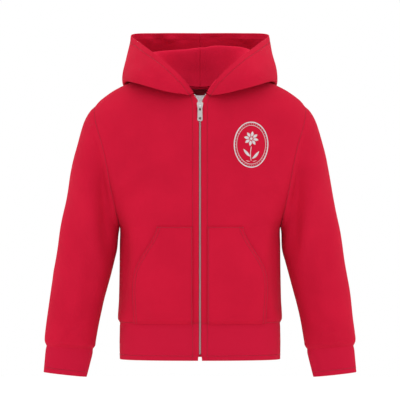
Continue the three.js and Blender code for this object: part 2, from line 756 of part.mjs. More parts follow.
// Angle by which the tab leans out from upright, where it rests on the zip
function restingLean(hinge) {
  let lean = 0;
  for (const share of [0.4, 0.6, 0.8, 1]) {
    const reach = TAB_LENGTH * share;
    const cover = bodyDepth(0, hinge.z - reach, 'front') + TAB_REST_CLEARANCE;
    lean = Math.max(lean, Math.atan2(cover + hinge.y, reach));
  }
  return lean;
}

const hoodie = new THREE.Group();
const redFleece = cloth('#c81b3a', 0.92);
const redRib = cloth('#c51d38', 0.94);
const redTape = cloth('#a51a30', 0.9);

// Body, sleeves, cuffs and band share their seam points and the normals there
const frontLeftGrid = halfPanel('front', -1);
const frontRightGrid = halfPanel('front', 1);
const backLeftHalf = halfPanel('back', -1);
const backRightHalf = halfPanel('back', 1);
const cuffRings = (side) => {
  const around = 2 * ARMHOLE_ROWS;
  return CUFF_SECTIONS.map((section) => ovalRing(section, side, around));
};

const frontLeft = makePanel(frontLeftGrid, false, -1);
const frontRight = makePanel(frontRightGrid, false, 1);
const back = makePanel(backPanel(), false, -1);
const sleeveLeft = makePanel(sleeveRings(-1, frontLeftGrid, backLeftHalf), true, -1);
const sleeveRight = makePanel(sleeveRings(1, frontRightGrid, backRightHalf), true, 1);
const cuffLeft = makePanel(cuffRings(-1), true, -1);
const cuffRight = makePanel(cuffRings(1), true, 1);
const band = makePanel(bandGrid(), false, 1);
const hoodLeft = makePanel(hoodGrid(-1, frontLeftGrid, backLeftHalf), false, -1);
const hoodRight = makePanel(hoodGrid(1, frontRightGrid, backRightHalf), false, 1);

weldNormals([frontLeft, frontRight, back, sleeveLeft, sleeveRight, cuffLeft, cuffRight, band]);
weldNormals([hoodLeft, hoodRight]);

const pocketLeft = pocketPanel(frontLeft);
const pocketRight = pocketPanel(frontRight);

drawInEdges(frontLeft, { bottom: true, top: true, end: true });
drawInEdges(frontRight, { bottom: true, top: true, end: true });
drawInEdges(back, { bottom: true, top: true, start: true, end: true });
for (const sleeve of [sleeveLeft, sleeveRight]) drawInEdges(sleeve, { bottom: true, top: true });
for (const cuff of [cuffLeft, cuffRight]) drawInEdges(cuff, { bottom: true });
drawInEdges(band, { bottom: true });
for (const hood of [hoodLeft, hoodRight]) drawInEdges(hood, { end: true });

add(hoodie, 'front_left', panelGeometry(frontLeft, CLOTH), redFleece);
add(hoodie, 'front_right', panelGeometry(frontRight, CLOTH), redFleece);
add(hoodie, 'back', panelGeometry(back, CLOTH), redFleece);
add(hoodie, 'sleeve_left', panelGeometry(sleeveLeft, CLOTH), redFleece);
add(hoodie, 'sleeve_right', panelGeometry(sleeveRight, CLOTH), redFleece);
add(hoodie, 'cuff_left', panelGeometry(cuffLeft, RIB), redRib);
add(hoodie, 'cuff_right', panelGeometry(cuffRight, RIB), redRib);
add(hoodie, 'hem_band', panelGeometry(band, RIB), redRib);
add(hoodie, 'hood_left', panelGeometry(hoodLeft, CLOTH), redFleece);
add(hoodie, 'hood_right', panelGeometry(hoodRight, CLOTH), redFleece);

const pocketOutset = SEAM_GAP + POCKET_THICKNESS;
add(hoodie, 'pocket_left', panelGeometry(pocketLeft, POCKET_THICKNESS, pocketOutset), redFleece);
add(hoodie, 'pocket_right', panelGeometry(pocketRight, POCKET_THICKNESS, pocketOutset), redFleece);

const chain = zipPanel(-CHAIN_HALF_WIDTH, CHAIN_HALF_WIDTH, frontRightGrid);
const tapeLeft = zipPanel(-TAPE_OUTER_X, -TAPE_INNER_X, frontRightGrid);
const tapeRight = zipPanel(TAPE_INNER_X, TAPE_OUTER_X, frontRightGrid);
add(hoodie, 'zip_chain', panelGeometry(chain, CHAIN_THICKNESS), metal('#b9b6b4', 0.35));
add(hoodie, 'zip_tape_left', panelGeometry(tapeLeft, TAPE_THICKNESS, -TAPE_DEPTH), redTape);
add(hoodie, 'zip_tape_right', panelGeometry(tapeRight, TAPE_THICKNESS, -TAPE_DEPTH), redTape);

const tapeGeometry = panelGeometry(neckTapePanel(), NECK_TAPE_THICKNESS, -INSIDE_DEPTH);
const labelGeometry = panelGeometry(labelPanel(), LABEL_THICKNESS, -INSIDE_DEPTH);
add(hoodie, 'neck_tape', tapeGeometry, redTape);
add(hoodie, 'neck_label', labelGeometry, cloth('#eef0f1', 0.7));

// The slider follows the slope of the zip, and the tab rests on the zip below it
const sliderY = -bodyDepth(0, SLIDER_Z, 'front') - SLIDER_CLEARANCE;
const sliderRise = bodyDepth(0, SLIDER_Z - SLIDER_HEIGHT, 'front') - bodyDepth(0, SLIDER_Z, 'front');
const sliderLean = Math.atan2(sliderRise, SLIDER_HEIGHT);
const slider = add(hoodie, 'zip_slider', sliderGeometry(), metal('#c9c5c3', 0.3));
slider.position.set(0, sliderY, SLIDER_Z);
slider.rotation.x = -sliderLean;

const hinge = new THREE.Vector3(0, -SLIDER_THICKNESS - AXIS_ABOVE_PLATE, -AXIS_DROP);
hinge.applyEuler(slider.rotation).add(slider.position);
const tab = add(hoodie, 'pull_tab', tabGeometry(), metal('#cdc9c6', 0.3));
tab.position.copy(hinge);
tab.rotation.x = -restingLean(hinge);

export default hoodie;
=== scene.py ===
import math

import bmesh
import bpy
import numpy as np
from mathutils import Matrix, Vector


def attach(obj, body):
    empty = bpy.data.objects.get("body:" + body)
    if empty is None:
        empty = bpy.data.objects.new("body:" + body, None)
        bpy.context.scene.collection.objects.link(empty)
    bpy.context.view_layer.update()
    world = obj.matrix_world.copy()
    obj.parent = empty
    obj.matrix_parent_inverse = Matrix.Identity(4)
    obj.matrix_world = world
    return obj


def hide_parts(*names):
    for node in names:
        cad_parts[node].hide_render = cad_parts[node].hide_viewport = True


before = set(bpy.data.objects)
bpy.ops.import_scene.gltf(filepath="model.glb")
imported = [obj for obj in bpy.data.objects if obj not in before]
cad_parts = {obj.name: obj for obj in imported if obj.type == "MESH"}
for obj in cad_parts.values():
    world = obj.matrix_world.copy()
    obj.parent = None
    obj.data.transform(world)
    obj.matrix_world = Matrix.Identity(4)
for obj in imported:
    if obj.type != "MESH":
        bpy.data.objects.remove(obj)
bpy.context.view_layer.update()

# A child's zip hoodie in red cotton fleece, filled out as when worn, with no wearer.
# Shapes are worked out in millimetres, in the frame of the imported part: +Z up, front facing -Y.
# Left is -X and right is +X, as seen from the front.
MM = 0.001

# Driving sizes, the same as the solids have
FLEECE = 1.8
RIB = 2.2
HEM_SEAM_Z = -464
BAND_BOTTOM_Z = -531
UNDERARM_Z = -285
SHOULDER_TIP_Z = -64
NECK_HALF_WIDTH = 62
FRONT_NECK_Z = -42
BACK_NECK_Z = -27
FLARE_START_Z = -66
POCKET_INNER_X = 13.5
SHOULDER_ROUNDING = 130
SECTION_POWER = 2.4
ARMHOLE_DEPTH_SHARE = 0.7
NECK_COLUMNS = 6
SHOULDER_COLUMNS = 5
PANEL_COLUMNS = 11
POCKET_COLUMN = 7
LOWER_LAST = 9
ARMHOLE_ROWS = 10

# The fronts' soft folded edges reach in over the zip's tapes, to either side of the teeth,
# and flare from there to the neck's corners. The band's front corners ease apart below.
FRONT_EDGE_X = 2.1
NECK_FLARE = 9.9
BAND_CORNER = 1.5
BAND_CORNER_HEIGHT = 15


def table(names, *rows):
    """Rows of numbers as named columns, in rising order of the first one."""
    columns = np.array(sorted(rows), float).T
    return dict(zip(names.split(), columns))


BODY_SECTIONS = table(
    "z width front back",
    (-531, 147.5, 80, 82),
    (-500, 148, 82, 84),
    (-464, 148, 84, 86),
    (-455, 151.5, 89, 91),
    (-420, 150, 89, 90),
    (-370, 149, 88, 88),
    (-320, 148.5, 88, 88),
    (-285, 148.5, 88, 90),
    (-220, 160, 90, 95),
    (-150, 174, 91, 98),
    (-90, 193, 89, 98),
    (-64, 194, 88, 96),
    (0, 194, 87, 94),
)
LOWER_ROWS = np.array([-464, -457, -441, -418, -394, -370, -349, -328, -306, -285], float)
SHOULDER_LINE = table(
    "x z", (0, 5), (62, 0), (110, -13), (152, -31), (183, -52), (194, -64)
)
ARMHOLE_LINE = table(
    "z x",
    (-285, 148.5),
    (-262, 153),
    (-218, 162),
    (-172, 170),
    (-135, 178),
    (-105, 187),
    (-84, 192),
    (-64, 194),
)
POCKET_EDGE = table("z x", (-464, 121), (-370, 118), (-285, 79), (-200, 84))
SLEEVE_SECTIONS = table(
    "ring outer_x outer_z inner_x inner_z front back",
    (0, 194, -64, 148.5, -285, 62, 67),
    (1, 204.5, -76, 150.4, -294, 62, 67),
    (2, 213, -91, 151.3, -303, 60, 65),
    (3, 219.5, -109, 151.8, -313, 58, 62),
    (4, 225.5, -130, 152.5, -324, 56, 59),
    (5, 232, -155, 154.3, -335, 54, 57),
    (6, 238, -186, 158.5, -350, 53, 55),
    (7, 244.5, -221, 163.3, -367, 52, 53),
    (8, 251.5, -258, 168.5, -386, 50, 51),
    (9, 258.5, -297, 173.7, -405, 49, 49),
    (10, 265, -336, 178.7, -424, 47, 47),
    (11, 271, -375, 183.2, -444, 45, 45),
    (12, 276.5, -412, 187.2, -463, 43, 43),
    (13, 281.5, -448, 190.7, -482, 40, 40),
    (14, 285.5, -480, 193.3, -497, 37, 37),
    (15, 286.5, -496, 194.5, -505.5, 34, 34),
    (16, 284, -506.5, 198, -512.5, 27, 27),
)
ARMHOLE_BLEND_RINGS = 6
CUFF_SECTIONS = table(
    "ring outer_x outer_z inner_x inner_z front back",
    (0, 284, -506.5, 198, -512.5, 27, 27),
    (1, 285, -516, 200, -523, 24, 24),
    (2, 286.8, -536, 205.2, -543.5, 21, 21),
    (3, 288.5, -555.5, 210.5, -564, 20, 20),
)
SLEEVE_RIDGE = [(226, -144), (213, -218), (194, -283), (180, -357), (178, -410)]
SLEEVE_RIDGE_HEIGHT = 6
SLEEVE_RIDGE_WIDTH = 17

# Hood profiles from the front of the neck round to the centre seam at the back. Each has
# the points stand, ridge, drop, fold, side and rim after its point on the neck seam.
HOOD_PROFILES = np.array(
    [
        [(12.3, -68.6, -40.9), (13.2, -71.2, -41.6), (16, -73.8, -43.8),
         (19.5, -76.8, -45.2), (18.5, -78.6, -43), (13.8, -77, -38.8)],
        [(34, -69, -32), (41, -77, -28), (49, -84, -33),
         (54, -89, -39.5), (53, -90, -25), (38, -80, -8)],
        [(60, -54, -12), (74, -62, -8), (92, -68, -18),
         (107, -70, -25), (106, -72, -3), (76, -55, 26)],
        [(70, 0, 12), (88, 0, 17), (114, -7, 0),
         (137, -12, -18), (135, -8, 12), (108, -6, 52)],
        [(61, 48, 6), (90, 52, 40), (116, 58, 12),
         (136, 60, -34), (134, 68, 18), (127, 70, 72.5)],
        [(33, 63, 3), (48, 68, 46), (70, 96, -12),
         (92, 120, -86), (98, 142, -8), (74, 112, 77)],
        [(0, 69, 4), (0, 70, 46), (0, 104, -28),
         (0, 124, -106), (0, 150, -20), (0, 124, 77.5)],
    ],
    float,
)
HOOD_LIFT = 0.2
RIDGE_TILT = 4


# Reading tables and curves


def smooth_step(low, high, value):
    """Eases from 0 at low to 1 at high, as 3t^2 - 2t^3."""
    t = np.clip((value - low) / (high - low), 0, 1)
    return t * t * (3 - 2 * t)


def read(rows, column, at):
    """Cubic through a table's rows: at each row the slope is that between its neighbours."""
    key, value = list(rows.values())[0], rows[column]
    slope = np.gradient(value, key)
    slope[1:-1] = (value[2:] - value[:-2]) / (key[2:] - key[:-2])
    at = np.clip(at, key[0], key[-1])
    i = np.clip(np.searchsorted(key, at, side="right") - 1, 0, len(key) - 2)
    span = key[i + 1] - key[i]
    t = (at - key[i]) / span
    return (
        value[i] * (2 * t**3 - 3 * t**2 + 1)
        + slope[i] * span * (t**3 - 2 * t**2 + t)
        + value[i + 1] * (3 * t**2 - 2 * t**3)
        + slope[i + 1] * span * (t**3 - t**2)
    )


def through(points, at):
    """Cubic through evenly spaced points along the first axis.

    At each point the slope is half the step between its neighbours.
    """
    points = np.asarray(points, float)
    last = len(points) - 1
    i = np.clip(np.floor(at).astype(int), 0, last - 1)
    t = (at - i).reshape((-1,) + (1,) * (points.ndim - 1))
    before, start, end = points[np.maximum(i - 1, 0)], points[i], points[i + 1]
    after = points[np.minimum(i + 2, last)]
    return (
        start * (2 * t**3 - 3 * t**2 + 1)
        + (end - before) / 2 * (t**3 - 2 * t**2 + t)
        + end * (3 * t**2 - 2 * t**3)
        + (after - start) / 2 * (t**3 - t**2)
    )


# The body


def shoulder_z(x):
    return read(SHOULDER_LINE, "z", np.abs(x))


def armhole_x(z):
    return read(ARMHOLE_LINE, "x", z)


def section_width(z):
    """Half width of the body. Above the underarm it is what it would be past the armhole."""
    up = np.clip((z - UNDERARM_Z) / (SHOULDER_TIP_Z - UNDERARM_Z), 0, 1)
    share = ARMHOLE_DEPTH_SHARE * np.sqrt(1 - (1 - up) ** 3)
    narrowing = (1 - share**SECTION_POWER) ** (1 / SECTION_POWER)
    return np.where(z <= UNDERARM_Z, read(BODY_SECTIONS, "width", z), armhole_x(z) / narrowing)


def body_depth(x, z, half):
    """Depth from the middle plane: a squared oval across, rounded over up to the shoulder line."""
    across = np.clip(np.abs(x) / section_width(z), 0, 1)
    round_off = (1 - across**SECTION_POWER) ** (1 / SECTION_POWER)
    drop = np.clip((shoulder_z(x) - z) / SHOULDER_ROUNDING, 0, 1)
    return read(BODY_SECTIONS, half, z) * round_off * np.sqrt(1 - (1 - drop) ** 2)


def armhole_row_z(step):
    """Heights on the armhole, from the underarm up, spaced as points on a half circle are."""
    middle = (SHOULDER_TIP_Z + UNDERARM_Z) / 2
    turn = math.pi * (1 - step / ARMHOLE_ROWS)
    return middle + (SHOULDER_TIP_Z - UNDERARM_Z) / 2 * np.cos(turn)


def lower_x(column, z, middle_x):
    """Where a column runs below the underarm: evenly to the pocket edge, then closer together."""
    pocket_x = read(POCKET_EDGE, "x", z)
    side = np.where(z < UNDERARM_Z, section_width(z), armhole_x(z))
    first = middle_x + (POCKET_INNER_X - middle_x) * column
    inner = POCKET_INNER_X + (pocket_x - POCKET_INNER_X) * (column - 1) / (POCKET_COLUMN - 1)
    beyond = (column - POCKET_COLUMN) / (PANEL_COLUMNS - POCKET_COLUMN)
    outer = pocket_x + (side - pocket_x) * np.sin(np.clip(beyond, 0, 1) * math.pi / 2)
    return np.where(column < 1, first, np.where(column <= POCKET_COLUMN, inner, outer))


def top_edge(column, half):
    """Round the neck as a quarter oval, then along the shoulder."""
    turn = np.clip(column / NECK_COLUMNS, 0, 1) * math.pi / 2
    neck_z = FRONT_NECK_Z if half == "front" else BACK_NECK_Z
    along = np.clip((column - NECK_COLUMNS) / SHOULDER_COLUMNS, 0, 1)
    x = NECK_HALF_WIDTH + (armhole_x(SHOULDER_TIP_Z) - NECK_HALF_WIDTH) * along
    on_neck = column <= NECK_COLUMNS
    return (
        np.where(on_neck, NECK_HALF_WIDTH * np.sin(turn), x),
        np.where(on_neck, neck_z * np.cos(turn), shoulder_z(x)),
    )


def edge_x(z, half):
    """Where the middle edge runs: straight, and above the slider opening out as a V."""
    flare = NECK_FLARE * smooth_step(FLARE_START_Z, 2 * FRONT_NECK_Z - FLARE_START_Z, z) * 2
    return FRONT_EDGE_X + flare if half == "front" else np.zeros_like(z)


def panel_x(column, edge_z, half):
    """Columns from the zip outwards: the lower layout eases into that of the neck and shoulder."""
    share = np.clip((edge_z - UNDERARM_Z) / (SHOULDER_TIP_Z - UNDERARM_Z), 0, 1)
    mix = smooth_step(0, 1, share)
    upper_x = top_edge(column, half)[0] * armhole_x(edge_z) / armhole_x(SHOULDER_TIP_Z)
    middle_x = FRONT_EDGE_X if half == "front" else 0
    return lower_x(column, edge_z, middle_x) * (1 - mix) + upper_x * mix


def half_body(rows, columns, half, side):
    """Half of the front or back: rows rise from the hem seam, columns go out from the middle."""
    row, column = np.meshgrid(rows, columns, indexing="ij")
    low_z = np.interp(row, np.arange(LOWER_LAST + 1), LOWER_ROWS)
    step = np.clip(row - LOWER_LAST, 0, ARMHOLE_ROWS)
    edge_z = np.where(row > LOWER_LAST, armhole_row_z(step), low_z)
    share = np.clip((edge_z - UNDERARM_Z) / (SHOULDER_TIP_Z - UNDERARM_Z), 0, 1)
    top_z = top_edge(column, half)[1]
    z = np.where(row > LOWER_LAST, UNDERARM_Z + share * (top_z - UNDERARM_Z), low_z)
    middle, first = edge_x(z, half), panel_x(np.ones_like(column), edge_z, half)
    near = middle + (first - middle) * column
    x = np.where(column < 1, near, panel_x(np.maximum(column, 1), edge_z, half))
    y = body_depth(x, z, half)
    on_side = (row <= LOWER_LAST) & (column == PANEL_COLUMNS)
    on_shoulder = (row == LOWER_LAST + ARMHOLE_ROWS) & (column >= NECK_COLUMNS)
    y = np.where(on_side | on_shoulder, 0, y)
    return np.stack([side * x, np.where(half == "front", -y, y), z], axis=-1)


# Sleeves and cuffs


def oval_rings(sections, rings, turns, side):
    """Flattened ovals: the long way joins the outer and inner edges, the short way is the depth."""
    get = {name: read(sections, name, rings)[:, None] for name in list(sections)[1:]}
    along = (1 + np.cos(turns)) / 2
    depth = np.where(np.sin(turns) > 0, get["front"], get["back"])
    x = get["inner_x"] + (get["outer_x"] - get["inner_x"]) * along
    z = get["inner_z"] + (get["outer_z"] - get["inner_z"]) * along
    return np.stack([side * x, -depth * np.sin(turns), z], axis=-1)


def armhole_loop(turns, side):
    """The armhole seam: down the front from the shoulder tip to the underarm, and up the back."""
    step = np.abs(turns / math.pi - 1) * ARMHOLE_ROWS
    z = armhole_row_z(step)
    x = armhole_x(z)
    front, back = body_depth(x, z, "front"), body_depth(x, z, "back")
    return np.stack([side * x, np.where(turns <= math.pi, -front, back), z], axis=-1)


def distance_to(path, x, z):
    """Distance in the front view from points to a path, and the share of the way along it."""
    path = np.asarray(path, float)
    best, along = np.full(x.shape, np.inf), np.zeros(x.shape)
    for i in range(len(path) - 1):
        way = path[i + 1] - path[i]
        t = np.clip(((x - path[i, 0]) * way[0] + (z - path[i, 1]) * way[1]) / (way @ way), 0, 1)
        distance = np.hypot(x - path[i, 0] - t * way[0], z - path[i, 1] - t * way[1])
        along = np.where(distance < best, (i + t) / (len(path) - 1), along)
        best = np.minimum(best, distance)
    return best, along


def sleeve_surface(rings, turns, side):
    """Ovals down the arm, which start as the armhole loop and ease into plain ovals."""
    plain = oval_rings(SLEEVE_SECTIONS, rings, turns, side)
    first = oval_rings(SLEEVE_SECTIONS, np.zeros(1), turns, side)
    hold = 1 - smooth_step(0, ARMHOLE_BLEND_RINGS, rings)[:, None, None]
    points = plain + (armhole_loop(turns, side)[None] - first) * hold
    distance, along = distance_to(SLEEVE_RIDGE, side * points[..., 0], points[..., 2])
    fade = np.sin(math.pi * (0.1 + 0.8 * along)) ** 0.5
    ridge = SLEEVE_RIDGE_HEIGHT * fade * np.exp(-((distance / SLEEVE_RIDGE_WIDTH) ** 2))
    ease = smooth_step(0, 1, rings)[:, None]
    points[..., 1] -= ridge * ease * np.clip(-points[..., 1] / 20, 0, 1)
    return points


# Band and hood


def band_surface(heights, columns):
    """The body's own section carried down from the hem seam; the front corners ease outwards."""
    z = np.repeat(heights[:, None], len(columns), axis=1)
    column = np.repeat(columns[None], len(heights), axis=0)
    corner = smooth_step(BAND_BOTTOM_Z + BAND_CORNER_HEIGHT, BAND_BOTTOM_Z, z)
    x = lower_x(column, z, FRONT_EDGE_X + BAND_CORNER * corner)
    x_back = lower_x(column, z, 0)
    front = body_depth(x, z, "front")
    back = body_depth(x_back, z, "back")
    front[:, -1] = back[:, -1] = 0
    front_left = np.stack([-x, -front, z], axis=-1)
    back_left = np.stack([-x_back, back, z], axis=-1)[:, ::-1][:, 1:]
    back_right = np.stack([x_back, back, z], axis=-1)[:, 1:]
    front_right = np.stack([x, -front, z], axis=-1)[:, ::-1][:, 1:]
    return np.concatenate([front_left, back_left, back_right, front_right], axis=1)


def neck_seam(index, side):
    """Points on the neck seam, from the front's middle edge round to the middle of the back."""
    column = np.where(index <= NECK_COLUMNS, index, 2 * NECK_COLUMNS - index)
    front_x, front_z = top_edge(column, "front")
    back_x, back_z = top_edge(column, "back")
    first_x = top_edge(np.ones(1), "front")[0]
    middle_x = edge_x(front_z, "front")
    front_x = np.where(column < 1, middle_x + (first_x - middle_x) * column, front_x)
    on_front = index <= NECK_COLUMNS
    x, z = np.where(on_front, front_x, back_x), np.where(on_front, front_z, back_z)
    front, back = body_depth(x, z, "front"), body_depth(x, z, "back")
    y = np.where(np.isclose(column, NECK_COLUMNS), 0, np.where(on_front, -front, back))
    return np.stack([side * x, y, z + HOOD_LIFT], axis=-1)


def hood_surface(steps, index, side):
    """Profiles from the neck seam to the rim, each a smooth curve through its named points."""
    controls = through(HOOD_PROFILES, index / 2).transpose(1, 0, 2)
    behind = smooth_step(6, 9, index) * (1 - smooth_step(10.5, 12, index))
    controls[1, :, 2] += side * RIDGE_TILT * behind
    controls = controls * np.array([side, 1, 1])
    return through(np.concatenate([neck_seam(index, side)[None], controls]), steps)


# Folds, each a soft ridge (or trough, where the height is below 0) along a path in the front view


def soft_folds(points, normals, folds):
    """Moves points along their normals: a bell across each fold's path, fading out at its ends."""
    x, y, z = points[..., 0], points[..., 1], points[..., 2]
    total = np.zeros(x.shape)
    for half, height, width, *path in folds:
        distance, along = distance_to(path, x, z)
        fade = np.sin(math.pi * np.clip(0.06 + 0.88 * along, 0, 1)) ** 0.8
        on_half = smooth_step(-6, 6, -y if half == "front" else y)
        total += height * fade * on_half * np.exp(-((distance / width) ** 2))
    return total


def undulation(points, size, height, seed):
    """A sum of slow waves in seeded directions, so that no panel is perfectly even."""
    rng = np.random.default_rng(seed)
    total = np.zeros(points.shape[:-1])
    for _ in range(7):
        way = rng.normal(size=3)
        way *= 2 * math.pi / (size * rng.uniform(0.7, 1.6) * np.linalg.norm(way))
        total += np.sin(points @ way + rng.uniform(0, 2 * math.pi)) * rng.uniform(0.5, 1)
    return total * height / 3


BODY_FOLDS = [
    ("front", -6.5, 26, (-152, -92), (-138, -138), (-124, -196)),
    ("front", 4.0, 12, (-163, -222), (-135, -203), (-98, -186)),
    ("front", -3.2, 11, (-156, -246), (-128, -228), (-100, -216)),
    ("front", -5.5, 25, (152, -98), (142, -140), (128, -190)),
    ("front", 3.6, 13, (162, -214), (138, -199), (108, -188)),
    ("front", -3.0, 11, (156, -240), (132, -224), (104, -214)),
    ("front", -6.5, 12, (-142, -284), (-137, -330), (-140, -392), (-146, -448)),
    ("front", -6.0, 12, (142, -284), (137, -334), (140, -400), (146, -450)),
    ("front", 2.4, 17, (-112, -225), (-118, -300), (-112, -395)),
    ("front", 2.2, 18, (106, -232), (116, -310), (112, -400)),
    ("front", -1.6, 20, (-62, -120), (-58, -190), (-66, -262)),
    ("front", -1.5, 22, (66, -190), (60, -230), (52, -275)),
    ("front", 1.8, 20, (76, -172), (88, -196), (92, -222)),
    ("front", 1.4, 12, (-96, -402), (-84, -430), (-80, -455)),
    ("front", 1.3, 12, (100, -408), (92, -434), (90, -456)),
    ("back", -6.4, 22, (-150, -96), (-132, -150), (-112, -220)),
    ("back", -5.8, 20, (148, -100), (134, -148), (118, -212)),
    ("back", 4.4, 12, (-160, -220), (-120, -212), (-66, -226)),
    ("back", 4.2, 12, (158, -226), (118, -220), (74, -236)),
    ("back", -5.4, 12, (-142, -290), (-137, -340), (-141, -395), (-146, -448)),
    ("back", -5.0, 12, (142, -296), (138, -344), (141, -402), (146, -450)),
    ("back", -4.0, 13, (-130, -254), (-76, -276), (-14, -284)),
    ("back", 4.0, 14, (-112, -326), (-40, -350), (48, -344)),
    ("back", -3.8, 12, (122, -304), (68, -310), (8, -322)),
    ("back", 3.4, 14, (104, -382), (44, -398), (-46, -394)),
    ("back", 2.2, 10, (-70, -420), (-62, -442), (-60, -458)),
    ("back", 2.2, 10, (42, -418), (46, -440), (46, -458)),
]
SLEEVE_FOLDS = [
    ("front", -13.0, 16, (-190, -120), (-180, -196), (-170, -262), (-170, -330)),
    ("front", -13.5, 16, (191, -122), (181, -200), (171, -266), (170, -336)),
    ("front", -2.2, 12, (-240, -246), (-231, -300), (-226, -346)),
    ("front", -2.0, 12, (236, -262), (230, -318), (226, -362)),
    ("front", 2.2, 11, (-214, -336), (-220, -396), (-232, -452)),
    ("front", 2.0, 12, (212, -346), (220, -402), (230, -456)),
    ("front", -2.0, 11, (-196, -420), (-212, -452), (-240, -470)),
    ("front", 2.4, 10, (-202, -462), (-226, -478), (-262, -480)),
    ("front", -1.9, 10, (200, -426), (220, -456), (246, -472)),
    ("front", 2.6, 10, (204, -466), (236, -480), (266, -474)),
    ("front", 1.6, 7, (-262, -498), (-250, -484), (-246, -470)),
    ("front", 1.7, 7, (-226, -503), (-222, -490), (-222, -474)),
    ("front", 1.6, 7, (256, -500), (250, -488), (248, -472)),
    ("front", 1.5, 7, (222, -503), (224, -490), (224, -478)),
    ("back", -6.0, 15, (-190, -140), (-182, -220), (-172, -300)),
    ("back", -6.4, 15, (190, -136), (181, -216), (170, -296)),
    ("back", 5.0, 13, (-178, -318), (-214, -322), (-246, -304)),
    ("back", -4.4, 11, (-184, -346), (-218, -350), (-252, -334)),
    ("back", 4.0, 12, (-194, -386), (-226, -388), (-262, -372)),
    ("back", 4.8, 13, (178, -312), (210, -318), (242, -296)),
    ("back", -4.4, 11, (182, -342), (216, -346), (250, -328)),
    ("back", 3.8, 12, (190, -380), (222, -384), (256, -366)),
    ("back", -3.2, 10, (-204, -446), (-236, -452), (-268, -440)),
    ("back", -3.2, 10, (202, -440), (232, -448), (266, -436)),
    ("back", 1.7, 7, (-248, -500), (-244, -486), (-244, -472)),
    ("back", 1.7, 7, (236, -502), (236, -488), (238, -474)),
]
HOOD_FOLDS = [
    ("back", -3.2, 11, (-104, 80), (-98, 67), (-92, 56)),
    ("back", 2.6, 11, (-82, 82), (-80, 69), (-78, 58)),
    ("back", -4.2, 11, (-58, 82), (-56, 71), (-54, 60)),
    ("back", 2.0, 14, (-32, 82), (-32, 70), (-32, 60)),
    ("back", 2.0, 14, (26, 88), (26, 74), (28, 64)),
    ("back", -3.2, 11, (90, 82), (87, 71), (82, 60)),
    ("front", -2.4, 14, (-122, 24), (-108, 2), (-86, -16)),
    ("front", 2.0, 11, (-96, 18), (-80, 2), (-62, -12)),
    ("front", -2.2, 14, (120, 28), (108, 4), (88, -14)),
    ("front", 2.0, 12, (92, 22), (80, 4), (60, -10)),
]


# Turning grids of points into cloth


def grid_normals(points, facing):
    """Unit normals from the steps across and along the grid; facing turns them outwards."""
    along, across = np.gradient(points, axis=0), np.gradient(points, axis=1)
    normals = np.cross(across, along) * facing
    return normals / np.maximum(np.linalg.norm(normals, axis=-1, keepdims=True), 1e-9)


def ring_normals(points, facing):
    """The same on a closed ring, whose last column repeats the first."""
    wrapped = np.concatenate([points[:, -2:-1], points, points[:, 1:2]], axis=1)
    return grid_normals(wrapped, facing)[:, 1:-1]


EDGE_STEPS = np.array([0, 0.05, 0.22, 0.5, 1.0])
EDGE_REACH_SHARE = 0.9
EDGES = ("first_row", "last_row", "first_column", "last_column")


def rounded_edge(points, axis, at_end, radius):
    """Replaces an edge row by a few close ones, from the edge inwards over the radius."""
    points = np.moveaxis(points, axis, 0)
    if at_end:
        points = points[::-1]
    way = points[1] - points[0]
    length = np.maximum(np.linalg.norm(way, axis=-1, keepdims=True), 1e-9)
    reach = np.minimum((EDGE_STEPS * radius)[:, None, None], length * EDGE_REACH_SHARE)
    close = points[0][None] + way[None] / length[None] * reach
    points = np.concatenate([close, points[1:]])
    if at_end:
        points = points[::-1]
    return np.moveaxis(points, 0, axis)


def arc_lengths(points, axis):
    """Lengths along a grid's rows or columns, summed from their first points."""
    step = np.linalg.norm(np.diff(points, axis=axis), axis=-1)
    return np.insert(np.cumsum(step, axis=axis), 0, 0, axis=axis)


